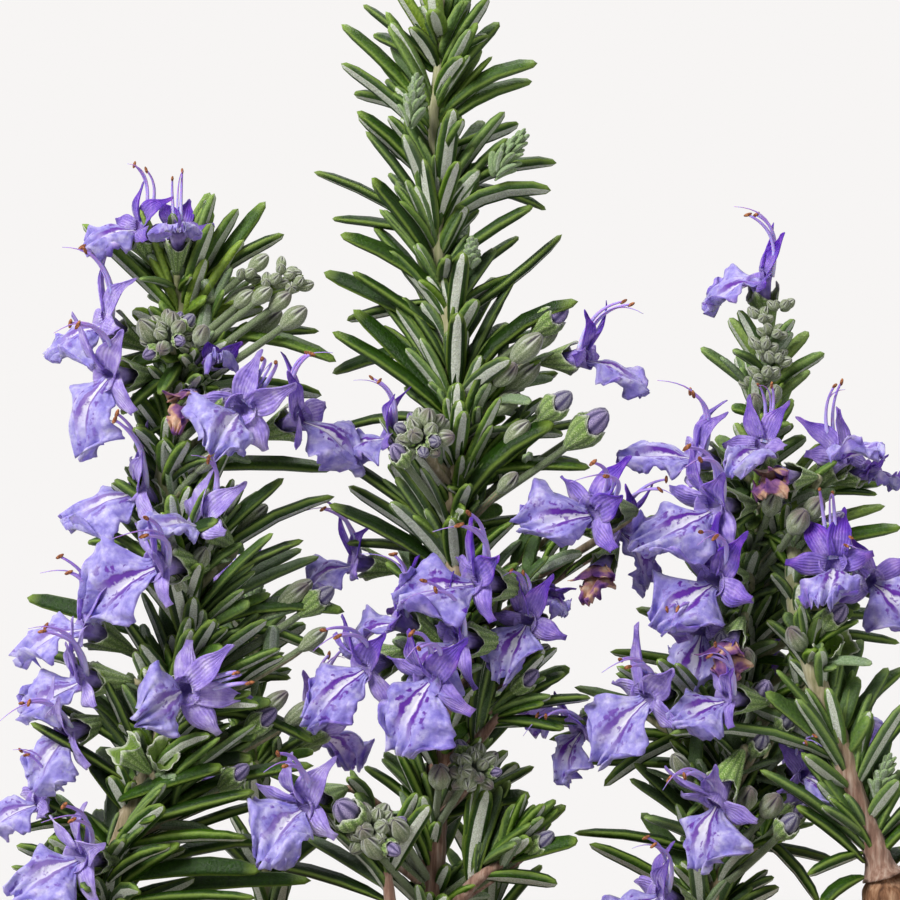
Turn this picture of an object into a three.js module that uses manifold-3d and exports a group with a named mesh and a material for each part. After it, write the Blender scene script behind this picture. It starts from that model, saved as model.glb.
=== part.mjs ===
// A potted rosemary in flower. Millimetres, +Z up, origin at the centre of the pot's base.
// The plant is a woody base rooted in the soil, leafy shoots that grow from its limbs, and flowers and
// bud clusters on short stalks. Each leaf is a plain spindle and each flower a coarse closed form.
import * as THREE from "three";
import { mergeVertices } from "three/addons/utils/BufferGeometryUtils.js";
import Module from "manifold-3d";

const wasm = await Module();
wasm.setup();

// Driving dimensions
const GAP = 0.3;
const POT_HEIGHT = 105;
const POT_BASE_RADIUS = 43;
const POT_NECK_RADIUS = 59.5;
const POT_RIM_RADIUS = 65.5;
const POT_RIM_HEIGHT = 22;
const POT_WALL = 6;
const POT_FLOOR = 8;
const POT_SIDES = 36;
const DRAIN_RADIUS = 4.5;
const DRAIN_CIRCLE = 24;
const DRAIN_COUNT = 3;
const SOIL_TOP = 93;
const SOIL_CROWN = 1.2;
const TRUNK_RADIUS = 7;
const TRUNK_ROOT_RADIUS = 6;
const TRUNK_FOOT = 76;
const LEAF_WIDTH = 2.8;
const LEAF_THICKNESS = 1.3;
const LEAF_SIDES = 3;
const STALK_RADIUS = 0.7;
const TUBE_LENGTH = 9;

const COLOURS = {
  terracotta: { color: "#b5694a", roughness: 0.9, metalness: 0 },
  soil: { color: "#3a2a20", roughness: 1, metalness: 0 },
  bark: { color: "#8a6f58", roughness: 0.9, metalness: 0 },
  leaf: { color: "#3d6426", roughness: 0.6, metalness: 0 },
  petal: { color: "#8f83de", roughness: 0.6, metalness: 0 },
  bud: { color: "#93a88a", roughness: 0.9, metalness: 0 },
};

// Limbs of the woody base: route, thick and thin radius. Each starts inside the trunk.
const TRUNK_ROUTE = [[0, 0, TRUNK_FOOT], [0, 0, 84], [0, 0, 94], [0.5, 0, 102], [0, 0, 109]];
const LIMBS = {
  centre: { radii: [5, 2.5], route: [[0, 0, 103], [-1.5, 0, 112], [-3, 0, 122]] },
  left: { radii: [4, 2.5], route: [[0, 0, 101], [-10, -1, 111], [-24, -2, 124]] },
  right: { radii: [3.8, 2.2], route: [[0, 0, 101], [8, 2, 112], [18, 4, 124]] },
  cut: {
    radii: [4.2, 3.3],
    route: [[0, 0, 101], [12, -3, 108], [28, -6, 120], [44, -8, 134], [57, -8, 148], [64, -8, 160],
      [64.5, -8, 167]],
  },
  low_left: { radii: [3, 1.9], route: [[0, 0, 102], [-12, -5, 108], [-26, -9, 116]] },
  low_right: { radii: [3, 1.9], route: [[0, 0, 102], [13, -9, 108], [25, -16, 116]] },
  front_left: { radii: [3, 1.9], route: [[0, 0, 102], [-9, -12, 108], [-18, -24, 116]] },
  front_right: { radii: [3, 1.9], route: [[0, 0, 102], [4, -16, 109], [8, -28, 117]] },
  back_left: { radii: [3.2, 2], route: [[0, 0, 102], [-9, 12, 110], [-18, 22, 121]] },
  back_mid: { radii: [3, 2], route: [[0, 0, 103], [2, 11, 112], [4, 20, 123]] },
  back_right: { radii: [3.2, 2], route: [[0, 0, 102], [11, 12, 110], [22, 21, 121]] },
};

// Shoots: route of the stem from its limb to its tip, thick and thin radius.
const SHOOTS = {
  centre: {
    radii: [2.3, 0.7],
    route: [[-3, 0, 122], [-4, 0, 142], [-3, 0, 163], [-1.5, 0, 184], [0, 0, 193], [1, 0, 208],
      [0.5, 0, 220], [1, 0, 230.5], [0.5, 0, 241], [0, 0, 250], [-2, 0, 260.5], [-1.5, 0, 268],
      [-2.5, 0, 280], [-1.5, 0, 290.5], [-1, 0, 304]],
  },
  left: {
    radii: [2.3, 0.9],
    route: [[-24, -2, 124], [-38, -3, 138], [-48, -3, 151], [-52.5, -4, 163], [-50, -4, 171],
      [-45, -4, 182.5], [-41, -4, 193], [-39, -4, 202], [-41, -4, 214], [-43, -4, 225], [-42, -4, 233.5],
      [-40, -4, 242.5], [-40.5, -4, 256]],
  },
  right: {
    radii: [2, 0.8],
    route: [[18, 4, 124], [28, 5, 138], [36, 5, 150], [40.5, 5, 163], [43.5, 5, 193], [45, 5, 208],
      [47, 5, 230.5], [47.5, 5, 249]],
  },
  cut: {
    radii: [2.1, 1.2],
    route: [[64.5, -8, 167], [63, -8, 172], [60.5, -8, 178], [58, -8, 187], [53.5, -8, 199.5],
      [51.5, -6, 208], [51.5, -4, 216]],
  },
  low_left: { radii: [1.7, 0.7], route: [[-26, -9, 116], [-42, -14, 127], [-53, -18, 140], [-58, -20, 152]] },
  low_right: { radii: [1.7, 0.7], route: [[25, -16, 116], [39, -23, 127], [48, -27, 140], [52, -28, 152]] },
  front_left: { radii: [1.6, 0.7], route: [[-18, -24, 116], [-24, -33, 128], [-28, -38, 147]] },
  front_right: { radii: [1.6, 0.7], route: [[8, -28, 117], [12, -37, 130], [14, -41, 147]] },
  back_left: { radii: [1.8, 0.7], route: [[-18, 22, 121], [-27, 30, 144], [-31, 33, 175], [-31, 31, 206]] },
  back_mid: { radii: [1.8, 0.7], route: [[4, 20, 123], [6, 27, 148], [3, 28, 180], [0, 26, 208]] },
  back_right: { radii: [1.8, 0.7], route: [[22, 21, 121], [36, 29, 145], [46, 31, 180], [50, 29, 212]] },
};

// Side shoots of the centre stem: they are part of its solid. Route from the stem's axis to the tip.
const SIDE_SHOOTS = [
  { on: "centre", radii: [1.3, 0.8], route: [[-4, 0, 149], [-8, -6, 159], [-9.5, -8, 168]] },
  { on: "centre", radii: [1.2, 0.6], route: [[-1.5, 0, 180], [4, -4, 187], [10.5, -5, 193.5]] },
  { on: "centre", radii: [1.2, 0.6], route: [[-3, 0, 157], [4, -5, 166], [12, -6, 171]] },
];

// Leaves placed one by one: [height of the base on the stem, tip x, tip y, tip z, bend].
// A positive bend bows the leaf upwards by that share of its length.
const LEAVES = {
  centre: [
    [281, -16.4, -1, 294.7, 0.04], [277, -16.5, 1, 289, 0.05], [270, -13.8, -3, 280.8, 0.03],
    [262.5, -20.6, 0, 272.5, 0.06], [253.5, -16.5, -4, 262.8, 0.08], [248.5, -19.2, 3, 257.5, 0.02],
    [235, -17.7, -4, 248.2, 0.05], [236, -14.7, 2, 251.8, 0.03], [240, -10.5, 4, 249.3, 0.02],
    [217, -19, -2, 230.7, 0.03], [214.5, -15.5, 4, 225, 0.02], [211.5, -18.2, -4, 222.3, 0.05],
    [288, -13.2, 2, 298, 0.03], [290, -9, -3, 301.5, 0.02], [278.5, -9.8, 4, 286.8, 0.02],
    [259, -11.7, -5, 270.7, 0.02], [260.5, -8.7, 5, 272.5, 0.01], [244, -13.8, 5, 256, 0.02],
    [280, 13.2, -2, 288.7, 0.12], [278.5, 12.5, 3, 286.5, 0.1], [267.5, 16.2, 2, 274, 0.12],
    [264, 15.2, -3, 269.5, 0.14], [257.5, 12.5, -5, 267, 0.05], [250, 17, 2, 263.2, -0.03],
    [254.5, 10.5, 5, 263, 0.02], [237.3, 19.2, -6, 252.7, 0.14], [221.5, 15.3, -6, 234.7, 0.04],
    [284.5, 7.5, 3, 295.5, 0.03], [287.5, 5.8, -3, 298.5, 0.02], [268, 0.5, -7, 281.5, 0.03],
    [262.5, -4, -7, 274, 0.02], [247.5, 2, -8, 260, 0.05], [237.5, 1.2, -7, 251, 0.1],
    [230.5, 5.6, -5, 243, 0.02], [228.5, 1.5, -7, 238, -0.04], [225, 20, 5, 228.5, 0.08],
    [213, 2.2, -9, 221.5, 0.3], [173.5, -8, -7, 186, 0.03], [173, 12.8, 2, 182.5, 0.05],
    [175, 12, -6, 178.7, 0.06], [166, -5, 6, 180, 0.02], [200, -3, 8, 213, 0.02],
    [245, 7, 9, 257, 0.02], [250, -5, 9, 262, 0.02], [270, 5, 8, 281, 0.02],
    [240, -6, 10, 250, 0.02], [226, 5, 10, 238, 0.02], [222, -8, 9, 232, 0.02],
    [293, -5, 1, 306, 0.02], [294, 4, 2, 306, 0.02], [298, -3.5, -2, 308.5, 0.02], [299, 2.5, -1, 309, 0.02],
  ],
  left: [
    [250, -55, -6, 264.3, 0.03], [252, -35.5, -8, 264.3, 0.03], [251, -31.8, -3, 266.8, 0.04],
    [250, -27.8, -1, 268, 0.02], [248, -30.8, -6, 262, 0.03], [247, -17, -5, 243.7, 0.1],
    [243, -48.8, -10, 235.8, 0.03], [244.5, -42.8, -12, 238.8, 0.02], [212, -24.8, -6, 226.3, 0.03],
    [209, -17.3, -3, 223.5, 0.1], [206, -21.8, -7, 217, 0.08], [203, -15.8, -4, 206.2, 0.12],
    [201, -18.8, -2, 199.5, 0.16], [190, -20.3, -5, 186.5, 0.14], [193, -24, 0, 196, 0.1],
    [180, -29.3, -8, 184.5, 0.08], [172, -20.3, -6, 183.3, 0.1], [170, -29.3, -3, 179, 0.08],
    [179.5, -62.3, -10, 190, 0.02], [183.5, -59.3, -4, 192.3, 0.03], [193, -48.8, -10, 206, 0.02],
    [201, -41.3, -12, 212, 0.02], [250, -45, 6, 262, 0.02], [246, -33, 8, 252, 0.05],
    [215, -37, 9, 227, 0.03], [212, -52, 5, 223, 0.02], [203, -47, 8, 213, 0.03],
    [188, -31, 6, 197, 0.04], [184, -52, 6, 195, 0.03], [176, -38, 6, 186, 0.03], [165, -60, 3, 175, 0.03],
    [163, -40, -10, 172, 0.05], [158, -62, -6, 167, 0.05], [160, -44, 6, 171, 0.04],
  ],
  right: [
    [239, 38, 3, 246, 0.03], [243.5, 42.5, 4, 250.6, 0.02], [241, 54.6, 4, 248.5, 0.02],
    [239, 56.9, 3, 245.2, 0.04], [236, 54.5, 1, 242.5, 0.03], [233, 46, -1, 242, 0.02],
    [230, 51.8, -1, 238, 0.04], [235, 44, 10, 245, 0.02], [232, 52, 10, 241, 0.02],
    [214, 66, 2, 222, 0.05], [216, 38, 10, 226, 0.03], [212, 56, 11, 221, 0.03], [205, 36, 8, 214, 0.03],
    [200, 58, 6, 209, 0.05], [184, 15, 3, 186.5, 0.08], [188, 23.3, 2, 179.5, 0.1],
    [168, 18.8, 3, 172.3, 0.06], [160, 21, 0, 171, 0.04],
    [178, 33, -4, 187, 0.03], [172, 50, 2, 181, 0.03], [165, 52, 10, 174, 0.03],
    [170, 33, 12, 180, 0.02], [186, 51, 12, 196, 0.02], [195, 36, 12, 205, 0.02],
  ],
  cut: [
    [184, 32.3, -13, 188.5, 0.1], [170, 45.8, -12, 183.2, 0.05], [182, 51, -14, 194, 0.03],
    [172, 54.8, -14, 178, 0.04], [186, 65.5, -6, 198, 0.03], [180, 67.5, -11, 193, 0.03],
    [176, 66, -2, 188, 0.03], [190, 62, -1, 202, 0.03], [178, 52, -2, 188, 0.03], [172, 73, -8, 181, 0.04],
  ],
};

// Leaves in opposite pairs, each pair a quarter turn from the last:
// [shoot, lowest z, highest z, spacing, leaf length, angle from the stem, first heading].
const PAIRS = [
  ["low_left", 120, 151, 6, 15, 50, 50],
  ["low_right", 120, 151, 6, 15, 50, 20],
  ["front_left", 119, 146, 6, 15, 50, 20],
  ["front_right", 120, 146, 6, 15, 50, 70],
  ["back_left", 125, 205, 9, 16, 50, 10],
  ["back_mid", 127, 207, 9, 16, 50, 50],
  ["back_right", 125, 211, 9, 16, 50, 30],
  ["centre", 125, 162, 6, 16, 55, 0],
  ["left", 128, 158, 6, 16, 55, 40],
  ["right", 128, 160, 6, 16, 55, 80],
  ["centre", 167, 236, 7.5, 14, 48, 70],
  ["left", 162, 250, 7, 13.5, 50, 20],
  ["right", 164, 232, 7, 13.5, 50, 55],
];

// Leaves of the side shoots: [base x, y, z, tip x, y, z].
const SIDE_LEAVES = [
  [-9, -7, 163, -27.3, -10, 169.2], [-9, -7, 165, -20, -11, 178], [-9, -8, 167, -3, -12, 178],
  [3.5, -4, 186, 5.3, -7, 202], [4.5, -4, 187.5, 7.5, -3, 200.5], [8, -5, 191, 21, -7, 193.5],
  [6, -4.5, 189, 20.5, -3, 189.3], [7, -5, 190, 17, -9, 189], [9, -5, 192, 14, -8, 201],
  [3, -4, 165, 5.6, -8, 180], [4, -5, 166, 9, -4, 181], [9, -6, 169, 19, -10, 172.5],
  [6, -5, 167.5, 17.5, -2, 177], [8, -5.5, 168.5, 14, -10, 178], [5, -5, 166.5, 16, -9, 166],
];

// Flowers: [name, shoot, mouth x, y, z, heading, pitch, roll, rise, size]. Heading 0 faces +X and 270 the
// front. rise is how much steeper the calyx and its tube stand than the flower's mouth looks.
const FLOWERS = [
  ["left_top_a", "left", -47, -8, 264, 215, 15, -20, 40, 0.85],
  ["left_top_b", "left", -40.5, -8, 263.5, 278, 30, 0, 40, 0.8],
  ["left_upper_a", "left", -52.5, -7, 250, 195, 5, -25, 25, 1.05],
  ["left_upper_b", "left", -51.5, -11, 241.5, 212, -22, -30, 25, 1.15],
  ["left_side_a", "left", -31, -13, 236.5, 252, -15, -40, 15, 1.15],
  ["left_side_b", "left", -21.5, -6, 235.5, 335, 5, 25, 15, 1.05],
  ["left_mid_a", "left", -47.5, -6, 225, 195, 5, -30, 30, 1.1],
  ["left_mid_b", "left", -44, -14, 213.5, 205, -10, -55, 20, 1.2],
  ["left_mid_c", "left", -37.5, -10, 220, 225, 12, -25, 15, 1],
  ["left_low_a", "left", -55.5, -6, 204.5, 190, 5, -30, 25, 1.05],
  ["left_low_b", "left", -39, -14, 195, 258, -5, -75, 10, 1.1],
  ["left_low_c", "left", -58, -8, 188, 205, -35, -30, 25, 1],
  ["left_foot_a", "left", -62.5, -5, 178, 212, 0, -30, 20, 0.9],
  ["left_foot_b", "left", -55.5, -13, 170.5, 215, -8, -45, 25, 1.15],
  ["centre_foot", "centre", -22.5, -12, 177.5, 222, -25, -30, 15, 1.2],
  ["centre_upper", "centre", -10, -4, 233, 188, 12, -20, 15, 0.85],
  ["centre_side_a", "centre", 21, -4, 244.5, 345, -15, 15, 20, 0.95],
  ["centre_side_b", "centre", 20.5, -14, 221.5, 215, -8, -55, 15, 1.2],
  ["centre_side_c", "centre", 26.5, -1, 218.5, 340, -20, 20, 20, 0.95],
  ["centre_mid_a", "centre", 3, -14, 211.5, 205, -5, -40, 20, 1.2],
  ["centre_mid_b", "centre", 11, -10, 205, 238, -15, -10, 20, 0.9],
  ["centre_low_a", "centre", 0, -13, 202.5, 200, -8, -35, 15, 1.1],
  ["centre_low_b", "centre", -3.5, -16, 196.5, 222, -30, -35, 20, 1.2],
  ["centre_low_c", "centre", -13.5, -9, 198, 205, -25, -40, 15, 1.15],
  ["centre_low_d", "centre", -8.5, -4, 205.5, 185, 12, -20, 20, 1],
  ["right_top", "right", 47, 4, 257, 190, 12, -20, 62, 1],
  ["right_upper_a", "right", 36, -3, 230, 195, 8, -30, 15, 1.1],
  ["right_upper_b", "right", 38, -12, 222, 215, -18, -35, 20, 1.25],
  ["right_upper_c", "right", 46, -8, 231.5, 235, 12, -10, 40, 0.85],
  ["right_upper_d", "right", 59, -3, 230, 305, 20, 10, 20, 0.95],
  ["right_mid_a", "right", 56.5, -13, 214, 262, 5, 5, 35, 1],
  ["right_mid_b", "right", 63, -8, 211, 292, -5, 45, 15, 0.9],
  ["right_mid_c", "right", 38.5, -11, 211, 222, -20, -35, 20, 1.15],
  ["right_mid_d", "right", 37, -7, 203, 232, -40, -10, 25, 0.95],
  ["right_low_a", "right", 28.5, -9, 193.5, 208, -28, -40, 25, 1.2],
  ["right_low_b", "right", 40, -13, 194, 200, -5, -35, 15, 0.95],
  ["right_low_c", "right", 38.5, -13, 178, 218, -42, -15, -12, 1.1],
  ["right_low_d", "right", 19, -2, 188, 200, -48, -30, 20, 0.9],
  ["back_left_a", "back_left", -41, 44, 197, 130, 5, 0, 20, 1.15],
  ["back_left_b", "back_left", -21, 42, 186, 60, 0, 0, 20, 1.15],
  ["back_right_a", "back_right", 42, 44, 200, 110, 5, 0, 20, 1.15],
  ["back_right_b", "back_right", 61, 38, 188, 40, 0, 0, 20, 1.15],
];

// Flowers that are fused to their shoot: [shoot, mouth x, y, z, heading, pitch, roll, rise, size, state].
const BLOOMS = [
  ["left", -56, -9, 196.5, 195, -8, -35, 15, 1.05, "open"],
  ["left", -34.5, -10, 244, 290, 10, 0, 20, 0.75, "shut"],
  ["left", -39, -11, 238, 250, -40, 0, 20, 0.75, "withered"],
  ["left", -50, -12, 188, 215, 30, 0, 10, 0.95, "empty"],
  ["left", -42, -12, 187, 285, 25, 0, 10, 0.95, "empty"],
  ["centre", -15.5, 7, 213.5, 185, -5, -20, 15, 0.95, "open"],
  ["centre", 22, -8, 212, 240, -50, 0, 15, 0.85, "withered"],
  ["centre", 15, -5, 209, 320, -30, 0, 20, 0.75, "shut"],
  ["right", 48.5, -11, 226.5, 215, -25, 0, 25, 0.85, "withered"],
  ["right", 63.5, -1, 227.5, 330, -10, 0, 25, 0.8, "shut"],
  ["right", 47.5, 8, 198, 205, 0, -20, 15, 1, "open"],
  ["right", 53.5, -5, 182, 310, -15, 30, 15, 0.8, "open"],
  ["right", 30.5, -8, 164.5, 205, 0, -30, 20, 1, "open"],
  ["right", 41, -12, 201, 240, -60, 0, 20, 0.8, "withered"],
  ["right", 55.5, -13, 203.5, 255, 15, 0, 20, 0.9, "empty"],
  ["right", 60, -9, 202, 300, -10, 0, 20, 0.8, "empty"],
  ["back_left", -35, 40, 207, 100, 20, 0, 20, 1, "open"],
  ["back_left", -40, 36, 178, 160, 0, 0, 20, 1, "open"],
  ["back_mid", -4, 36, 205, 110, 10, 0, 20, 1, "open"],
  ["back_mid", 9, 37, 190, 60, 0, 0, 20, 1, "open"],
  ["back_right", 56, 38, 209, 70, 20, 0, 20, 1, "open"],
  ["back_right", 55, 37, 175, 20, 0, 0, 20, 1, "open"],
];

// Bud clusters: [name, shoot, centre x, y, z, spread, bud radius]. Their buds sit round the stalk's end.
const BUD_CLUSTERS = [
  ["left", "left", -41.5, -10, 247, 4.2, 1.6],
  ["centre", "centre", -4, -9, 232, 4.6, 1.9],
  ["centre_low", "centre", 3.5, -9, 182.5, 4.2, 1.7],
  ["front", "centre", -11.5, -10, 173.5, 4.4, 2],
];

const CLUSTER_APPROACH = new THREE.Vector3(0, -0.5, 0.85);

// Small buds that are part of their shoot: [shoot, x, y, z, radius, length].
const NUBS = [
  ["left", -37.5, -8, 244, 1.8, 6], ["left", -40, -8, 239, 1.4, 6], ["left", -27, -4, 250, 1.8, 8],
  ["left", -31, -4, 253.5, 1.8, 8], ["left", -26, -6, 193, 1.7, 8], ["left", -32, -8, 182, 1.8, 7],
  ["centre", 11.5, -3, 242, 2, 9], ["centre", 14.5, -2, 248, 2, 8], ["centre", 15.5, -4, 237.5, 1.9, 7],
  ["centre", 21, -3, 234.5, 2.2, 9], ["centre", 9, -3, 238, 1.9, 7], ["centre", 11.3, -7, 196, 1.8, 7],
  ["centre", 13.5, -8, 172, 1.8, 7], ["right", 52, 4, 225, 2, 8], ["right", 50, 0, 221, 1.9, 8],
  ["right", 46, 1, 241, 1.3, 5], ["right", 49, 2, 245, 1.3, 5], ["right", 47, 8, 244, 1.3, 5],
  ["right", 55, 3, 218, 1.8, 7], ["right", 52, -3, 176, 1.9, 7], ["cut", 57, -13, 206, 1.9, 7],
  ["cut", 51, -12, 203, 1.9, 7],
  ["left", -23, -4, 209, 1.8, 8], ["left", -20, -3, 202.5, 1.6, 7], ["left", -22, -5, 191.5, 1.7, 8],
  ["left", -29, -2, 221, 1.6, 7], ["left", -36, -9, 229, 1.5, 6], ["right", 57, -9, 219.5, 1.7, 7],
  ["right", 53, -8, 221.5, 1.6, 6], ["right", 46, -9, 187, 1.8, 7], ["right", 50, -8, 190, 1.7, 7],
  ["right", 34, -8, 184, 1.7, 7], ["centre", 13.5, -4, 200, 1.7, 7], ["centre", 9, -7, 226, 1.5, 6],
];

const vector = (x, y, z) => new THREE.Vector3(x, y, z);
const curveThrough = (points) =>
  new THREE.CatmullRomCurve3(points.map((point) => vector(...point)), false, "catmullrom", 0.5);
const degrees = THREE.MathUtils.degToRad;

// A closed geometry as a solid: shared corners are merged and empty triangles left out.
function solidOf(geometry) {
  const plain = geometry.clone();
  plain.deleteAttribute("normal");
  plain.deleteAttribute("uv");
  const merged = mergeVertices(plain, 1e-4);
  const corners = merged.index.array;
  const kept = [];
  for (let i = 0; i < corners.length; i += 3) {
    const [a, b, c] = [corners[i], corners[i + 1], corners[i + 2]];
    if (a !== b && b !== c && c !== a) kept.push(a, b, c);
  }
  return new wasm.Manifold(new wasm.Mesh({
    numProp: 3,
    vertProperties: Float32Array.from(merged.attributes.position.array),
    triVerts: Uint32Array.from(kept),
  }));
}

function geometryOf(solid) {
  const mesh = solid.getMesh();
  const geometry = new THREE.BufferGeometry();
  geometry.setAttribute("position", new THREE.BufferAttribute(mesh.vertProperties, 3));
  geometry.setIndex(new THREE.BufferAttribute(mesh.triVerts, 1));
  geometry.computeVertexNormals();
  return geometry;
}

const joined = (solids) => solids.reduce((whole, next) => whole.add(next));
// The largest single body of a solid, without any pocket that its own parts seal off.
const mainBody = (solid) => solid.decompose().sort((a, b) => b.volume() - a.volume())[0];
const touches = (solid, other) => solid.intersect(other).volume() > 1e-3;

// Lays a unit shape that stands along Y from -1 to 1 on a curve, with its +Z side turned to face.
function laidAlong(shape, curve, face, width, thickness) {
  const position = shape.attributes.position;
  for (let i = 0; i < position.count; i += 1) {
    const t = THREE.MathUtils.clamp((position.getY(i) + 1) / 2, 0, 1);
    const along = curve.getTangent(t);
    const across = vector(0, 0, 0).crossVectors(along, face).normalize();
    const outwards = vector(0, 0, 0).crossVectors(across, along);
    const point = curve.getPoint(t);
    point.addScaledVector(across, position.getX(i) * width(t));
    point.addScaledVector(outwards, position.getZ(i) * thickness(t));
    position.setXYZ(i, point.x, point.y, point.z);
  }
  return shape;
}

// A tapered round stem along a curve. grow thickens it all round.
function stemSolid(curve, [thick, thin], sides, steps, grow = 0) {
  const rod = new THREE.CylinderGeometry(1, 1, 2, sides, steps);
  const radius = (t) => THREE.MathUtils.lerp(thick, thin, t) + grow;
  return solidOf(laidAlong(rod, curve, vector(0.05, 1, 0.1), radius, radius));
}

// A leaf or a petal: a spindle from base to tip, bowed towards its upper face.
function spindleSolid(base, tip, bend, face, width, thickness, grow = 0, sides = 4) {
  const length = base.distanceTo(tip);
  const middle = base.clone().add(tip).multiplyScalar(0.5).addScaledVector(face, 2 * bend * length);
  const curve = new THREE.QuadraticBezierCurve3(base, middle, tip);
  const spindle = new THREE.SphereGeometry(1, sides, 3);
  return solidOf(laidAlong(spindle, curve, face, () => width / 2 + grow, () => thickness / 2 + grow));
}

// The part of "up" that is square to a direction: a leaf's upper face looks this way.
function upperFace(direction, up = vector(0, 0, 1)) {
  return up.clone().addScaledVector(direction, -up.dot(direction)).normalize();
}

// The point and the direction of a rising curve at a height, and how far along the curve it is.
function atHeight(curve, z) {
  let [low, high] = [0, 1];
  for (let i = 0; i < 24; i += 1) {
    const middle = (low + high) / 2;
    if (curve.getPoint(middle).z < z) low = middle;
    else high = middle;
  }
  return { point: curve.getPoint(low), along: curve.getTangent(low), t: low };
}

const shootCurves = Object.fromEntries(
  Object.entries(SHOOTS).map(([name, shoot]) => [name, curveThrough(shoot.route)]));

// Where a leaf leaves its stem: a third of the radius from the axis on the side of the leaf's tip.
function leafRoot(name, z, tip) {
  const { point, along, t } = atHeight(shootCurves[name], z);
  const radius = THREE.MathUtils.lerp(...SHOOTS[name].radii, t);
  const sideways = tip.clone().sub(point).projectOnPlane(along).normalize();
  return point.addScaledVector(sideways, 0.35 * radius);
}

// Base and tip of every leaf of a shoot: the placed ones, the pairs and those of its side shoots.
function leavesOf(name) {
  const placed = (LEAVES[name] ?? []).map(([z, x, y, top, bend]) =>
    ({ base: leafRoot(name, z, vector(x, y, top)), tip: vector(x, y, top), bend }));
  const paired = PAIRS.filter(([shoot]) => shoot === name).flatMap(pairsAlong);
  const side = name !== "centre" ? [] : SIDE_LEAVES.map((leaf) =>
    ({ base: vector(...leaf.slice(0, 3)), tip: vector(...leaf.slice(3)), bend: 0.05 }));
  return [...placed, ...paired, ...side];
}

function pairsAlong([name, lowest, highest, spacing, length, angle, heading]) {
  const leaves = [];
  const count = Math.floor((highest - lowest) / spacing);
  for (let pair = 0; pair <= count; pair += 1) {
    const z = lowest + pair * spacing;
    const { point, along } = atHeight(shootCurves[name], z);
    for (const side of [0, 180]) {
      const turn = degrees(heading + 90 * pair + side + 18 * Math.sin(2.4 * pair + side));
      const radial = vector(Math.cos(turn), Math.sin(turn), 0);
      const lean = degrees(angle + 7 * Math.sin(1.7 * pair + side));
      const reach = length * (1 + 0.12 * Math.sin(3.1 * pair + side)) * (1 - 0.35 * (pair / count) ** 2);
      const tip = point.clone().addScaledVector(along, reach * Math.cos(lean));
      tip.addScaledVector(radial, reach * Math.sin(lean));
      leaves.push({ base: leafRoot(name, z, tip), tip, bend: 0.05 });
    }
  }
  return leaves;
}

function leafSolid({ base, tip, bend }, grow = 0) {
  const direction = tip.clone().sub(base).normalize();
  return spindleSolid(base, tip, bend, upperFace(direction), LEAF_WIDTH, LEAF_THICKNESS, grow, LEAF_SIDES);
}

// The place of a flower: its mouth at the origin looks along +X, with its lower lip towards -Z.
function flowerPlace([, x, y, z, heading, pitch, roll, , size]) {
  const [turn, lift, lean] = [degrees(heading), degrees(pitch), degrees(roll)];
  const forwards = vector(Math.cos(turn) * Math.cos(lift), Math.sin(turn) * Math.cos(lift), Math.sin(lift));
  const left = vector(-Math.sin(turn), Math.cos(turn), 0).applyAxisAngle(forwards, lean);
  const up = vector(0, 0, 0).crossVectors(forwards, left);
  const place = new THREE.Matrix4().makeBasis(forwards, left, up);
  return place.scale(vector(size, size, size)).setPosition(x, y, z);
}

// The foot of a flower's calyx and the direction in which the calyx stands on it.
function flowerFoot(flower) {
  const rise = degrees(flower[7]);
  const place = flowerPlace(flower);
  const tube = vector(Math.cos(rise), 0, Math.sin(rise));
  const foot = tube.clone().multiplyScalar(-TUBE_LENGTH).applyMatrix4(place);
  return { foot, approach: tube.transformDirection(place) };
}

// One flower: the calyx bell with the corolla's tube, the lower lip, and the upper lobes as one flap.
// A shut flower has its petals folded forwards, a withered one hangs thin, an empty one has only a calyx.
function flowerSolid(flower, state = "open", grow = 0) {
  const place = flowerPlace(flower);
  const bell = [[0, -grow], [0.9 + grow, 0.3], [2.4 + grow, 5], [1.7 + grow, 8.6], [0, 9.2 + grow]];
  const outline = bell.map(([radius, along]) => new THREE.Vector2(radius, along));
  const body = new THREE.LatheGeometry(outline, 5).rotateZ(-Math.PI / 2);
  body.translate(-TUBE_LENGTH, 0, 0).rotateY(-degrees(flower[7])).applyMatrix4(place);
  const solids = [solidOf(body)];
  const petal = (base, tip, face, width, thickness, bend = 0) => {
    const scale = flower[8];
    const [start, end] = [vector(...base).applyMatrix4(place), vector(...tip).applyMatrix4(place)];
    const towards = vector(...face).transformDirection(place);
    return spindleSolid(start, end, bend, towards, width * scale, thickness * scale, grow);
  };
  if (state === "open") {
    solids.push(petal([-0.8, 0, -0.3], [8.6, 0, -5.8], [0.55, 0, 1], 10, 1.6, 0.12));
    solids.push(petal([-1.2, 0, 0], [0.3, 0, 8], [1, 0, -0.1], 6, 1.3));
  }
  if (state === "shut") solids.push(petal([-1.5, 0, 0], [6, 0, 0], [0, 0, 1], 4, 4));
  if (state === "withered") solids.push(petal([-1.5, 0, 0], [6.5, 0, -2.5], [0, 0, 1], 3.6, 2.4));
  return joined(solids);
}

// Seven buds: one at the end of the stalk and six in a ring round it, facing out.
function clusterSolid([, , x, y, z, spread, radius], grow = 0) {
  const middle = vector(x, y, z);
  const tips = [vector(0, -0.4, 0.9)];
  for (let bud = 0; bud < 6; bud += 1) {
    const turn = degrees(60 * bud);
    tips.push(vector(Math.cos(turn), -0.45, Math.sin(turn) * 0.75));
  }
  return joined(tips.map((way) => {
    const outwards = way.normalize();
    const root = middle.clone().addScaledVector(outwards, -0.25 * spread);
    const tip = middle.clone().addScaledVector(outwards, 1.25 * spread);
    const curve = new THREE.LineCurve3(root, tip);
    const bud = new THREE.SphereGeometry(1, 4, 3);
    return solidOf(laidAlong(bud, curve, vector(0.1, 0.3, 1), () => radius + grow, () => radius + grow));
  }));
}

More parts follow.
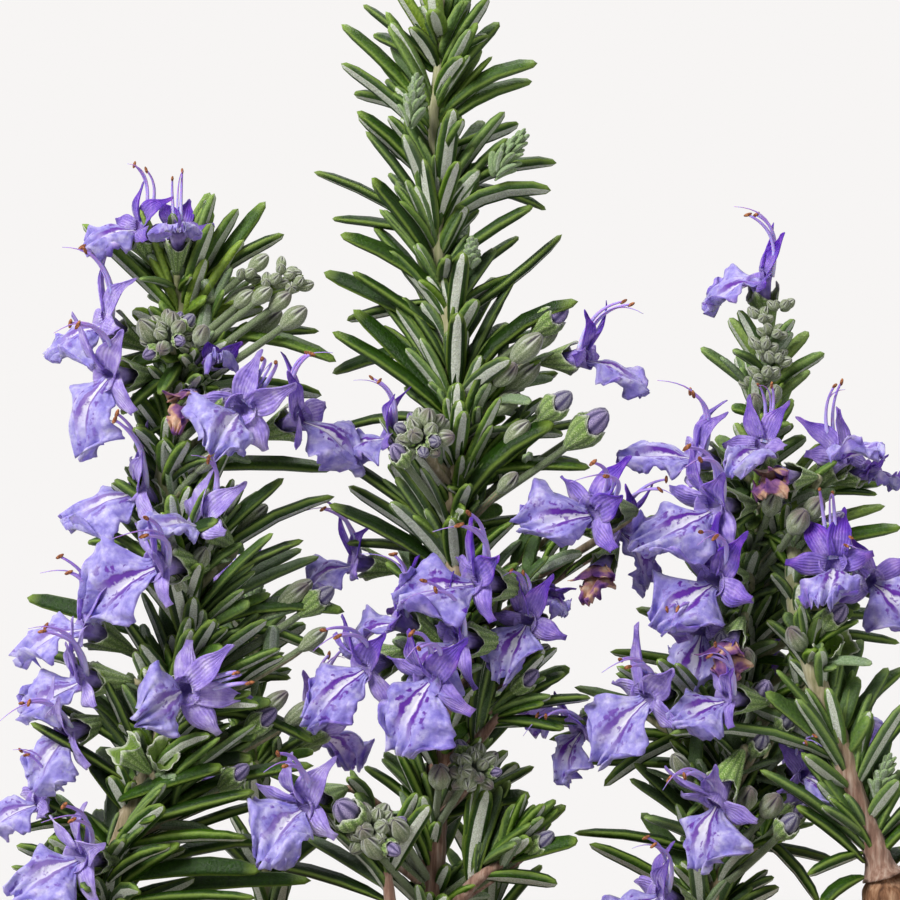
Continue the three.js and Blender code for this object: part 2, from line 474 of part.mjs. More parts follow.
// Where a stalk leaves its stem: lower down for a seat that stands further off.
function stalkRoot(name, seat) {
  const curve = shootCurves[name];
  const level = atHeight(curve, seat.z).point;
  const lowest = curve.getPoint(0).z + 4;
  const drop = 2 + 0.55 * Math.hypot(seat.x - level.x, seat.y - level.y);
  return atHeight(curve, Math.min(Math.max(seat.z - drop, lowest), curve.getPoint(1).z - 1)).point;
}

// A stalk from the stem up to a seat. It ends short of it, or beyond it where the two are fused.
function stalkSolid(name, seat, approach, beyond, grow = 0) {
  const end = seat.clone().addScaledVector(approach, beyond);
  const bow = end.clone().addScaledVector(approach, -3);
  const route = new THREE.QuadraticBezierCurve3(stalkRoot(name, seat), bow, end);
  return stemSolid(route, [STALK_RADIUS, STALK_RADIUS], 3, 2, grow);
}

// A small bud on its stalk.
function nubSolid([name, x, y, z, radius, length], grow = 0) {
  const middle = vector(x, y, z);
  const outwards = middle.clone().sub(stalkRoot(name, middle)).setZ(0).normalize();
  outwards.add(vector(0, 0, 0.8)).normalize();
  const base = middle.clone().addScaledVector(outwards, -length / 2);
  const tip = middle.clone().addScaledVector(outwards, length / 2);
  const axis = new THREE.LineCurve3(base, tip);
  const thick = () => radius + grow;
  const bud = solidOf(laidAlong(new THREE.SphereGeometry(1, 4, 3), axis, vector(0.1, 0.3, 1), thick, thick));
  return bud.add(stalkSolid(name, base, outwards, 1, grow));
}

// Stem, side stems, flower stalks and nubs of a shoot, as one solid.
function framework(name, grow = 0) {
  const shoot = SHOOTS[name];
  const points = shoot.route.map((point) => vector(...point));
  const start = points[1].clone().sub(points[0]).normalize();
  points[0].addScaledVector(start, GAP);
  const curve = new THREE.CatmullRomCurve3(points, false, "catmullrom", 0.5);
  const solids = [stemSolid(curve, shoot.radii, 5, points.length, grow)];
  for (const side of SIDE_SHOOTS.filter(({ on }) => on === name)) {
    solids.push(stemSolid(curveThrough(side.route), side.radii, 5, 4, grow));
  }
  const short = -GAP - 0.1;
  for (const [, ...flower] of FLOWERS.filter(([, on]) => on === name)) {
    const { foot, approach } = flowerFoot(flower);
    solids.push(stalkSolid(name, foot, approach, short, grow));
  }
  for (const bloom of BLOOMS.filter(([on]) => on === name)) {
    const { foot, approach } = flowerFoot(bloom);
    solids.push(stalkSolid(name, foot, approach, 1, grow));
    solids.push(flowerSolid(bloom, bloom[9], grow));
  }
  for (const [, , x, y, z] of BUD_CLUSTERS.filter(([, on]) => on === name)) {
    solids.push(stalkSolid(name, vector(x, y, z), CLUSTER_APPROACH, short - 0.2, grow));
  }
  for (const nub of NUBS.filter(([on]) => on === name)) solids.push(nubSolid(nub, grow));
  return joined(solids);
}

// The woody base: a short trunk with its limbs.
function woodyBase(grow = 0) {
  const trunk = stemSolid(curveThrough(TRUNK_ROUTE), [TRUNK_ROOT_RADIUS, TRUNK_RADIUS], 10, 5, grow);
  const limbs = Object.values(LIMBS).map(({ route, radii }) =>
    stemSolid(curveThrough(route), radii, 6, route.length + 1, grow));
  return joined([trunk, ...limbs]);
}

// The pot: a tapered wall with a thick rim band, and drain holes through its floor.
function pot() {
  const rimFoot = POT_HEIGHT - POT_RIM_HEIGHT;
  const profile = [
    [0, 0], [POT_BASE_RADIUS - 1, 0], [POT_BASE_RADIUS, 1], [POT_NECK_RADIUS, rimFoot - 0.5],
    [POT_RIM_RADIUS - 2.5, rimFoot], [POT_RIM_RADIUS - 1.5, rimFoot + 1], [POT_RIM_RADIUS, POT_HEIGHT - 2.5],
    [POT_RIM_RADIUS - 1.5, POT_HEIGHT], [POT_RIM_RADIUS - POT_WALL, POT_HEIGHT],
    [potInnerRadius(POT_HEIGHT - 3), POT_HEIGHT - 3], [potInnerRadius(POT_FLOOR + 3), POT_FLOOR + 3],
    [potInnerRadius(POT_FLOOR) - 3, POT_FLOOR], [0, POT_FLOOR],
  ];
  const shell = solidOf(turned(profile, POT_SIDES));
  const holes = [];
  for (let hole = 0; hole < DRAIN_COUNT; hole += 1) {
    const turn = degrees(90 + (360 / DRAIN_COUNT) * hole);
    const drill = new THREE.CylinderGeometry(DRAIN_RADIUS, DRAIN_RADIUS, 3 * POT_FLOOR, 12);
    drill.rotateX(Math.PI / 2);
    holes.push(solidOf(drill.translate(DRAIN_CIRCLE * Math.cos(turn), DRAIN_CIRCLE * Math.sin(turn), 0)));
  }
  return shell.subtract(joined(holes));
}

function potInnerRadius(z) {
  const slope = (POT_NECK_RADIUS - POT_BASE_RADIUS) / (POT_HEIGHT - POT_RIM_HEIGHT);
  return POT_BASE_RADIUS - POT_WALL + slope * z;
}

// A profile of [radius, height] points turned about the Z axis.
function turned(profile, sides) {
  const points = profile.map(([radius, z]) => new THREE.Vector2(radius, z));
  return new THREE.LatheGeometry(points, sides).rotateX(Math.PI / 2);
}

// The soil fills the pot to below its rim and leaves a socket for the trunk's foot.
function soil() {
  const socket = GAP + 0.25;
  const floor = POT_FLOOR + GAP;
  return solidOf(turned([
    [0, floor], [potInnerRadius(floor) - 3.5, floor],
    [potInnerRadius(POT_FLOOR + 3) - socket, POT_FLOOR + 3 + GAP],
    [potInnerRadius(SOIL_TOP) - socket, SOIL_TOP], [30, SOIL_TOP + SOIL_CROWN],
    [TRUNK_RADIUS + socket, SOIL_TOP + SOIL_CROWN], [TRUNK_RADIUS + socket, TRUNK_FOOT - GAP],
    [0, TRUNK_FOOT - GAP],
  ], 24));
}

const plant = new THREE.Group();

function addPiece(name, solid, look) {
  const mesh = new THREE.Mesh(geometryOf(solid), new THREE.MeshStandardMaterial(COLOURS[look]));
  mesh.name = name;
  plant.add(mesh);
}

const potSolid = pot();
const soilSolid = soil();
const base = mainBody(woodyBase());
addPiece("pot", potSolid, "terracotta");
addPiece("soil", soilSolid, "soil");
addPiece("woody_base", base, "bark");

// Stems come first, then flowers, buds and leaves: each is cut clear of what is already there.
const shootNames = Object.keys(SHOOTS);
const guards = [woodyBase(GAP)];
const frameworks = {};
for (const name of shootNames) {
  frameworks[name] = mainBody(guards.reduce((rest, guard) => rest.subtract(guard), framework(name)));
  guards.push(framework(name, GAP));
}
const flowers = [];
for (const [name, ...flower] of FLOWERS) {
  const clear = guards.reduce((rest, guard) => rest.subtract(guard), flowerSolid(flower));
  flowers.push([`flower_${name}`, mainBody(clear)]);
  guards.push(flowerSolid(flower, "open", GAP));
}
const clusters = [];
for (const cluster of BUD_CLUSTERS) {
  const clear = guards.reduce((rest, guard) => rest.subtract(guard), clusterSolid(cluster));
  clusters.push([`buds_${cluster[0]}`, mainBody(clear)]);
  guards.push(clusterSolid(cluster, GAP));
}

// A leaf is fused to its own shoot, and left out where it would cut into any other piece.
const frameworkGuards = guards.splice(0, shootNames.length + 1);
const leafGuards = [];
for (const name of shootNames) {
  const ownGuard = frameworkGuards[shootNames.indexOf(name) + 1];
  const others = [potSolid, soilSolid, ...frameworkGuards.filter((guard) => guard !== ownGuard)];
  const grown = [];
  const fused = [];
  for (const leaf of leavesOf(name)) {
    const solid = leafSolid(leaf);
    const blocked = [...others, ...guards, ...leafGuards].some((guard) => touches(solid, guard));
    if (!blocked) {
      fused.push(solid);
      grown.push(leafSolid(leaf, GAP));
    }
  }
  leafGuards.push(...grown);
  addPiece(`shoot_${name}`, mainBody(joined([frameworks[name], ...fused])), "leaf");
}
for (const [name, solid] of flowers) addPiece(name, solid, "petal");
for (const [name, solid] of clusters) addPiece(name, solid, "bud");

export default plant;
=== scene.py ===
"""A potted rosemary in flower: a terracotta pot of soil, a woody base, leafy shoots and their flowers.

Shapes are drawn in millimetres and written in metres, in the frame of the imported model.
"""

import math
import random

import bmesh
import bpy
from mathutils import Matrix, Quaternion, Vector, noise


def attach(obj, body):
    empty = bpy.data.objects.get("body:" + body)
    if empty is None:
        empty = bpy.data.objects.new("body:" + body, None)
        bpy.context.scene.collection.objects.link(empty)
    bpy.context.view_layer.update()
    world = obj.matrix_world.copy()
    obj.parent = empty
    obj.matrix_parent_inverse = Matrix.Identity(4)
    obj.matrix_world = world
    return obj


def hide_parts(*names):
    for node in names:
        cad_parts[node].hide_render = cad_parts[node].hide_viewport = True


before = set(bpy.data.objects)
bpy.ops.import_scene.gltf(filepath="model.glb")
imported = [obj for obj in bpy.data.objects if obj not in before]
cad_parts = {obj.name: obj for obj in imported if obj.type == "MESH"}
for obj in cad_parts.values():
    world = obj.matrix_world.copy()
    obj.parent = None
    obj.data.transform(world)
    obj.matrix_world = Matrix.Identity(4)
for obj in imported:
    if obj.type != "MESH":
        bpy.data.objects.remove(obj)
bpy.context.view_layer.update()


# The studio: white paper behind, a pale paper floor, a large soft light from the upper left and weaker
# ones from the right, above and behind. The camera looks level at the flowering shoots, from the front.
def linear(code):
    """An sRGB hex value as a linear colour."""
    parts = [int(code[i:i + 2], 16) / 255 for i in (1, 3, 5)]
    return [part / 12.92 if part <= 0.04045 else ((part + 0.055) / 1.055) ** 2.4 for part in parts] + [1]


def connect(tree, node, inputs):
    """Sets inputs of a node to another node's result, to a value, or to a colour in sRGB hex."""
    for socket, source in inputs.items():
        if isinstance(source, bpy.types.Node):
            source = next(result for result in source.outputs if result.enabled)
        if isinstance(source, bpy.types.NodeSocket):
            tree.links.new(source, node.inputs[socket])
        else:
            node.inputs[socket].default_value = linear(source) if isinstance(source, str) else source


def add_node(tree, kind, inputs={}, stops=(), **settings):
    """Adds a node. Of numbered inputs, Map Range has 0 the value, 1 and 2 the range it comes from and
    3 and 4 the one it goes to; Mix has 0 the factor, 6 and 7 the colours. Stops are a ramp's colours."""
    node = tree.nodes.new("ShaderNode" + kind)
    for name, value in settings.items():
        setattr(node, name, value)
    connect(tree, node, inputs)
    if stops:
        first, last = node.color_ramp.elements
        last.position, last.color = stops[-1][0], linear(stops[-1][1])
        first.position, first.color = stops[0][0], linear(stops[0][1])
        for place, colour in stops[1:-1]:
            node.color_ramp.elements.new(place).color = linear(colour)
    return node


def new_finish(name):
    """An empty material with its shader: gives the material, its node tree and the shader."""
    material = bpy.data.materials.new(name)
    material.use_nodes = True
    tree = material.node_tree
    return material, tree, tree.nodes["Principled BSDF"]


bpy.context.scene.view_settings.view_transform = "Standard"
camera = bpy.data.objects.new("camera", bpy.data.cameras.new("camera"))
camera.data.lens = 150
camera.data.sensor_width = 36
camera.data.clip_start = 0.01
camera.location = (0, -0.5665, 0.2305)
camera.rotation_euler = (math.pi / 2, 0, 0)
bpy.context.scene.collection.objects.link(camera)
bpy.context.scene.camera = camera

for name, place, size, watts in (
    ("key", (-0.55, -0.65, 0.8), 0.4, 13.5),
    ("fill", (0.8, -0.55, 0.3), 0.7, 1.9),
    ("top", (0.1, 0.35, 1.0), 0.6, 4.5),
    ("back_left", (-0.7, 0.5, 0.4), 0.6, 2.0),
):
    light = bpy.data.objects.new(name, bpy.data.lights.new(name, "AREA"))
    light.data.size = size
    light.data.energy = watts
    light.location = place
    light.rotation_euler = (Vector(place) - Vector((0, 0, 0.2))).to_track_quat("Z", "Y").to_euler()
    bpy.context.scene.collection.objects.link(light)

world = bpy.data.worlds.new("white_paper")
world.use_nodes = True
bpy.context.scene.world = world
tree = world.node_tree
seen = add_node(tree, "LightPath")
seen_paper = add_node(tree, "Background", {"Color": "#f7f5f4"})
room = add_node(tree, "Background", {"Color": "#eef0f4", "Strength": 0.24})
world_mix = add_node(tree, "MixShader", {0: seen.outputs["Is Camera Ray"], 1: room, 2: seen_paper})
connect(tree, tree.nodes["World Output"], {"Surface": world_mix})

paper, tree, shader = new_finish("matte_white_paper_floor")
connect(tree, shader, {"Base Color": "#e9e7e5", "Roughness": 0.9})
place = add_node(tree, "TexCoord").outputs["Object"]
reach = add_node(tree, "VectorMath", {0: place}, operation="LENGTH")
rim_fade = add_node(tree, "MapRange", {0: reach.outputs["Value"], 1: 0.18, 2: 0.55, 3: 1.0, 4: 0.0})
clear = add_node(tree, "BsdfTransparent")
floor_mix = add_node(tree, "MixShader", {0: rim_fade, 1: clear, 2: shader})
connect(tree, tree.nodes["Material Output"], {"Surface": floor_mix})
floor_mesh = bmesh.new()
bmesh.ops.create_circle(floor_mesh, cap_ends=True, segments=96, radius=0.6)
floor_data = bpy.data.meshes.new("floor")
floor_mesh.to_mesh(floor_data)
floor_mesh.free()
floor = bpy.data.objects.new("floor", floor_data)
floor_data.materials.append(paper)
bpy.context.scene.collection.objects.link(floor)


# The pot: red earthenware, pressed and fired, unglazed. It tapers to its foot and has a deep rim band
# and three drain holes; lime from the water has bloomed white on the clay.
def start_shape(*marks):
    """A new mesh with named numbers on its corners, for the patterns that follow a surface."""
    mesh = bmesh.new()
    return mesh, {mark: mesh.verts.layers.float.new(mark) for mark in marks}


def make_piece(mesh, name, *finishes):
    """Writes a mesh drawn in millimetres as a smooth object in metres."""
    bmesh.ops.recalc_face_normals(mesh, faces=mesh.faces)
    bmesh.ops.scale(mesh, vec=(0.001, 0.001, 0.001), verts=mesh.verts)
    data = bpy.data.meshes.new(name)
    mesh.to_mesh(data)
    mesh.free()
    data.shade_smooth()
    for finish in finishes:
        data.materials.append(finish)
    piece = bpy.data.objects.new(name, data)
    bpy.context.scene.collection.objects.link(piece)
    return piece


def settle(piece):
    """Makes a piece's modifiers part of its mesh."""
    shaped = piece.evaluated_get(bpy.context.evaluated_depsgraph_get())
    data = bpy.data.meshes.new_from_object(shaped)
    piece.modifiers.clear()
    piece.data = data
    data.name = piece.name


def turn_on_wheel(mesh, profile, steps):
    """Turns a profile of [radius, height] points round the pot's axis."""
    corners = [mesh.verts.new((radius, 0, height)) for radius, height in profile]
    edges = [mesh.edges.new(pair) for pair in zip(corners, corners[1:])]
    bmesh.ops.spin(mesh, geom=corners + edges, cent=(0, 0, 0), axis=(0, 0, 1), dvec=(0, 0, 0),
                   angle=2 * math.pi, steps=steps, use_merge=True)
    bmesh.ops.remove_doubles(mesh, verts=mesh.verts, dist=0.001)


# Terracotta scatters light evenly: matte, sandy, warm orange-brown, paler where lime has dried on it.
terracotta, tree, shader = new_finish("fired_terracotta_clay")
where = add_node(tree, "TexCoord").outputs["Object"]
clouds = add_node(tree, "TexNoise", {"Vector": where, "Scale": 38.0, "Detail": 6.0, "Roughness": 0.65})
clay = add_node(tree, "ValToRGB", {0: clouds}, stops=((0.3, "#9c5537"), (0.5, "#b4663f"), (0.72, "#c47c52")))
lime = add_node(tree, "TexNoise", {"Vector": where, "Scale": 21.0, "Detail": 8.0, "Roughness": 0.72})
height = add_node(tree, "SeparateXYZ", {0: where})
low = add_node(tree, "MapRange", {0: height.outputs["Z"], 1: 0.0, 2: 0.035, 3: 0.34, 4: 0.0})
high = add_node(tree, "MapRange", {0: height.outputs["Z"], 1: 0.07, 2: 0.1, 3: 0.0, 4: 0.12})
bands = add_node(tree, "Math", {0: low, 1: high}, operation="ADD")
bloom = add_node(tree, "Math", {0: lime, 1: bands}, operation="ADD")
bloom_share = add_node(tree, "MapRange", {0: bloom, 1: 0.56, 2: 0.86, 3: 0.0, 4: 0.62})
bloomed = add_node(tree, "Mix", {0: bloom_share, 6: clay, 7: "#d9c3b2"}, data_type="RGBA")
# Sand grains of about half a millimetre darken and roughen the clay.
grit = add_node(tree, "TexNoise", {"Vector": where, "Scale": 1700.0, "Detail": 2.0})
specks = add_node(tree, "MapRange", {0: grit, 1: 0.62, 2: 0.72, 3: 0.0, 4: 0.45})
specked = add_node(tree, "Mix", {0: specks, 6: bloomed, 7: "#7a4630"}, data_type="RGBA")
# Faint level lines, some 1.5 mm apart, are left by the sponge that wiped the turning pot.
flattened = add_node(tree, "VectorMath", {0: where, 1: (12, 12, 620)}, operation="MULTIPLY")
lines = add_node(tree, "TexNoise", {"Vector": flattened, "Scale": 1.0, "Detail": 3.0})
relief = add_node(tree, "Math", {0: lines, 1: 0.6, 2: grit}, operation="MULTIPLY_ADD")
bump = add_node(tree, "Bump", {"Height": relief, "Strength": 0.55, "Distance": 0.0003})
connect(tree, shader, {"Base Color": specked, "Normal": bump, "Roughness": 0.92, "Specular IOR Level": 0.25})

pot_profile = [
    (0, 0), (30, 0), (41, 0), (42.3, 0.3), (43, 1.2), (46, 16), (49.5, 33), (53.4, 52), (57, 70),
    (59.3, 81.3), (59.8, 82.2), (61, 82.8), (63, 83), (64, 83.6), (64.3, 84.6), (64.9, 93), (65.4, 101),
    (65.3, 103), (64.6, 104.4), (63.2, 105), (61, 105), (59.8, 104.5), (59.1, 103.4), (58.2, 99), (55.5, 86),
    (51, 64), (46, 39), (41, 15), (39.3, 10.5), (37, 8.5), (34, 8), (0, 8),
]
mesh, marks = start_shape()
turn_on_wheel(mesh, pot_profile, 128)
for vert in mesh.verts:
    wave = noise.noise(vert.co * 0.03)
    vert.co.x *= 1 + 0.0025 * wave
    vert.co.y *= 1 + 0.0025 * wave
pot = make_piece(mesh, "pot_terracotta", terracotta)
for angle in (90, 210, 330):
    drill, marks = start_shape()
    bmesh.ops.create_cone(drill, cap_ends=True, segments=32, radius1=4.6, radius2=4.4, depth=30)
    bmesh.ops.translate(drill, verts=drill.verts,
                        vec=(24 * math.cos(math.radians(angle)), 24 * math.sin(math.radians(angle)), 0))
    cutter = make_piece(drill, "drill", terracotta)
    cut = pot.modifiers.new("drain", "BOOLEAN")
    cut.object = cutter
    cut.solver = "EXACT"
    settle(pot)
    bpy.data.objects.remove(cutter)
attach(pot, "root")
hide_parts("pot")


# The soil: dark peat potting mix, crumbly, with bark chips, white grit and a few needles that the
# plant has shed. It fills the pot to a finger's width below its rim, close round the trunk.

# Damp peat hardly shines: near black in its hollows and brown where its crumbs have dried.
peat, tree, shader = new_finish("damp_peat_soil")
where = add_node(tree, "TexCoord").outputs["Object"]
crumbs = add_node(tree, "TexNoise", {"Vector": where, "Scale": 420.0, "Detail": 7.0, "Roughness": 0.7})
brown = add_node(tree, "ValToRGB", {0: crumbs},
    stops=((0.3, "#17100b"), (0.52, "#33241a"), (0.75, "#5f4835")))
bump = add_node(tree, "Bump", {"Height": crumbs, "Strength": 0.9, "Distance": 0.0006})
connect(tree, shader, {"Base Color": brown, "Normal": bump, "Roughness": 0.95, "Specular IOR Level": 0.2})

# Bark chips are split conifer bark: reddish brown, fibrous, darker when damp.
chip, tree, shader = new_finish("split_bark_chip")
where = add_node(tree, "TexCoord").outputs["Object"]
fibres = add_node(tree, "TexNoise", {"Vector": where, "Scale": 700.0, "Detail": 4.0})
brown = add_node(tree, "ValToRGB", {0: fibres}, stops=((0.35, "#3b2417"), (0.7, "#7f5639")))
connect(tree, shader, {"Base Color": brown, "Roughness": 0.85})

# Perlite is puffed volcanic glass: chalk white, porous, a little grey with peat dust.
perlite, tree, shader = new_finish("perlite_grit")
where = add_node(tree, "TexCoord").outputs["Object"]
pores = add_node(tree, "TexNoise", {"Vector": where, "Scale": 1500.0, "Detail": 3.0})
white = add_node(tree, "ValToRGB", {0: pores}, stops=((0.35, "#a39a8c"), (0.6, "#e3ded4")))
connect(tree, shader, {"Base Color": white, "Roughness": 0.9})


def lay_finish(verts, number):
    """Gives the faces round some corners the material of that number."""
    for face in {face for vert in verts for face in vert.link_faces}:
        face.material_index = number


def soil_height(x, y):
    """How high the loose surface lies at a point."""
    spot = Vector((x, y, 0))
    rise = 93.6 - 0.9 * (math.hypot(x, y) / 56) ** 2
    for coarseness, depth in ((0.07, 0.7), (0.25, 0.55), (0.7, 0.35)):
        rise += depth * noise.noise(spot * coarseness)
    return rise


mesh, marks = start_shape()
rings = [(7.3 + 47.9 * step / 34, 93) for step in range(35)]
soil_profile = [(0, 75.5), (7.2, 75.6), (7.25, 90)] + rings + [(54.6, 88), (38.4, 12), (35, 8.4), (0, 8.4)]
turn_on_wheel(mesh, soil_profile, 112)
for vert in mesh.verts:
    if vert.co.z > 92:
        vert.co.z = soil_height(vert.co.x, vert.co.y)
chance = random.Random(5)
# Noise vectors start from the clock unless they are given a number.
noise.seed_set(5)
PEAT, CHIP, GRIT = 0, 1, 2
for kind in [PEAT] * 470 + [CHIP] * 100 + [GRIT] * 50:
    spread, turn = 53 * math.sqrt(chance.uniform(0.03, 1)), chance.uniform(0, 2 * math.pi)
    x, y = spread * math.cos(turn), spread * math.sin(turn)
    size = chance.uniform(0.9, 2.2) if kind == CHIP else chance.uniform(0.5, 1.6)
    grain = bmesh.ops.create_icosphere(mesh, subdivisions=1, radius=size)["verts"]
    flat = (1.5, 0.8, 0.35) if kind == CHIP else (1, chance.uniform(0.6, 1), chance.uniform(0.5, 0.8))
    lie = Matrix.Rotation(chance.uniform(0, 6.3), 4, "Z") @ Matrix.Rotation(chance.gauss(0, 0.3), 4, "X")
    lift = Matrix.Translation((x, y, soil_height(x, y) + 0.15 * size))
    bmesh.ops.transform(mesh, verts=grain, matrix=lift @ lie @ Matrix.Diagonal((*flat, 1)))
    for vert in grain:
        vert.co += noise.noise_vector(vert.co * 1.3) * 0.3 * size
    lay_finish(grain, kind)
soil = make_piece(mesh, "soil_peat", peat, chip, perlite)
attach(soil, "root")
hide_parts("soil")


# The woody base: the old trunk and the limbs that rise from it, of hard pale wood under grey-brown bark
# that peels in narrow strips. It grew as one piece and is rooted in the soil.
TRUNK_ROUTE = [[0, 0, 76], [0, 0, 84], [0, 0, 94], [0.5, 0, 102], [0, 0, 109]]
# Each limb and shoot: [radius at its foot, radius at its end, the points it passes through].
LIMBS = {
    "centre": [5, 2.5, [[0, 0, 103], [-1.5, 0, 112], [-3, 0, 122]]],
    "left": [4, 2.5, [[0, 0, 101], [-10, -1, 111], [-24, -2, 124]]],
    "right": [3.8, 2.2, [[0, 0, 101], [8, 2, 112], [18, 4, 124]]],
    "cut": [4.2, 3.3, [
        [0, 0, 101], [12, -3, 108], [28, -6, 120], [44, -8, 134], [57, -8, 148], [64, -8, 160],
        [64.5, -8, 167]]],
    "low_left": [3, 1.9, [[0, 0, 102], [-12, -5, 108], [-26, -9, 116]]],
    "low_right": [3, 1.9, [[0, 0, 102], [13, -9, 108], [25, -16, 116]]],
    "front_left": [3, 1.9, [[0, 0, 102], [-9, -12, 108], [-18, -24, 116]]],
    "front_right": [3, 1.9, [[0, 0, 102], [4, -16, 109], [8, -28, 117]]],
    "back_left": [3.2, 2, [[0, 0, 102], [-9, 12, 110], [-18, 22, 121]]],
    "back_mid": [3, 2, [[0, 0, 103], [2, 11, 112], [4, 20, 123]]],
    "back_right": [3.2, 2, [[0, 0, 102], [11, 12, 110], [22, 21, 121]]],
}


def clamp(value):
    """The nearest number from 0 to 1."""
    return min(max(value, 0), 1)


def curve_through(route):
    """A smooth curve through points. It gives the point at a share of the way from first to last."""
    points = [Vector(point) for point in route]
    points = [2 * points[0] - points[1]] + points + [2 * points[-1] - points[-2]]
    spans = len(points) - 3

    def point_at(share):
        spot = clamp(share) * spans
        start = min(int(spot), spans - 1)
        t = spot - start
        a, b, c, d = points[start:start + 4]
        return b + 0.5 * t * (c - a + t * (2 * a - 5 * b + 4 * c - d + t * (3 * b - a - 3 * c + d)))
    return point_at


def direction_of(point_at, share):
    """Which way a curve runs at a share of the way."""
    return (point_at(min(share + 0.0005, 1)) - point_at(max(share - 0.0005, 0))).normalized()


def ring_and_turn(vert, rings):
    """Which ring of a unit sphere a corner is on, counted up from its foot, and its angle round it."""
    return round(math.acos(min(max(-vert.co.z, -1), 1)) * rings / math.pi), math.atan2(vert.co.y, vert.co.x)


def draw_rod(mesh, point_at, radius, sides, steps):
    """A closed round rod along a curve. radius gives its radius for a share of the way."""
    made = bmesh.ops.create_uvsphere(mesh, u_segments=sides, v_segments=steps + 2, radius=1)["verts"]
    side = (point_at(1) - point_at(0)).orthogonal().normalized()
    rings = []
    for ring in range(steps + 3):
        share = clamp((ring - 1) / steps)
        along = direction_of(point_at, share)
        side = (side - along * side.dot(along)).normalized()
        thick = 0 if ring in (0, steps + 2) else radius(share)
        rings.append((point_at(share), side * thick, along.cross(side) * thick))
    for vert in made:
        ring, turn = ring_and_turn(vert, steps + 2)
        middle, across, up = rings[ring]
        vert.co = middle + across * math.cos(turn) + up * math.sin(turn)
    return made


# Rosemary bark: dull, dry and fibrous, split lengthways into strips about a millimetre wide.
bark, tree, shader = new_finish("peeling_rosemary_bark")
where = add_node(tree, "TexCoord").outputs["Object"]
grain_way = add_node(tree, "VectorMath", {0: where, 1: (950, 950, 130)}, operation="MULTIPLY")
strips = add_node(tree, "TexNoise", {"Vector": grain_way, "Scale": 1.0, "Detail": 6.0, "Roughness": 0.6,
    "Distortion": 0.4})
patches = add_node(tree, "TexNoise", {"Vector": where, "Scale": 130.0, "Detail": 3.0})
strip_colour = add_node(tree, "ValToRGB", {0: strips},
    stops=((0.3, "#4a3022"), (0.46, "#8a6247"), (0.6, "#b08a6c"), (0.8, "#cfb193")))
weathered = add_node(tree, "MapRange", {0: patches, 1: 0.45, 2: 0.7, 3: 0.0, 4: 0.5})
bark_colour = add_node(tree, "Mix", {0: weathered, 6: strip_colour, 7: "#9a8d7d"}, data_type="RGBA")
bump = add_node(tree, "Bump", {"Height": strips, "Strength": 1.0, "Distance": 0.0007})
connect(tree, shader, {"Base Color": bark_colour, "Normal": bump, "Roughness": 0.88,
    "Specular IOR Level": 0.25})

mesh, marks = start_shape()
draw_rod(mesh, curve_through(TRUNK_ROUTE), lambda share: 6.2 + 1.0 * share, 20, 14)
for thick, thin, route in LIMBS.values():
    draw_rod(mesh, curve_through(route),
             lambda share: (thick + (thin - thick) * share) * (1 - 0.4 * max(share - 0.95, 0) / 0.05), 14, 40)
# The cut branch ends in a broad slanting stub beside the young shoot.
STUB_ROUTE = [(62, -7, 154), (67, -7, 162), (75, -6.5, 171)]
draw_rod(mesh, curve_through(STUB_ROUTE), lambda share: 4.1 - 0.3 * share, 16, 10)
# Five roots flare out from the trunk and dive into the soil: [distance from the axis, height].
ROOT_ROUTE = [(3, 97), (7.5, 94.6), (13, 92)]
for root in range(5):
    way = Vector((math.cos(1.3 * root), math.sin(1.3 * root), 0))
    draw_rod(mesh, curve_through([way * out + Vector((0, 0, height)) for out, height in ROOT_ROUTE]),
             lambda share: 3.0 - 2.0 * share, 8, 8)
woody_base = make_piece(mesh, "woody_base_bark", bark)
skin = woody_base.modifiers.new("grown_together", "REMESH")
skin.mode = "VOXEL"
skin.voxel_size = 0.00055
settle(woody_base)
shape = bmesh.new()
shape.from_mesh(woody_base.data)
for step in range(3):
    bmesh.ops.smooth_vert(shape, verts=shape.verts, factor=0.5,
                          use_axis_x=True, use_axis_y=True, use_axis_z=True)
for vert in shape.verts:
    spot = vert.co * 1000
    ridge = noise.noise(Vector((spot.x * 0.55, spot.y * 0.55, spot.z * 0.12)))
    knot = noise.noise(spot * 0.11)
    vert.co += vert.normal * (0.00035 * ridge + 0.0004 * knot)
shape.to_mesh(woody_base.data)
shape.free()
woody_base.data.shade_smooth()
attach(woody_base, "root")
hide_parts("woody_base")


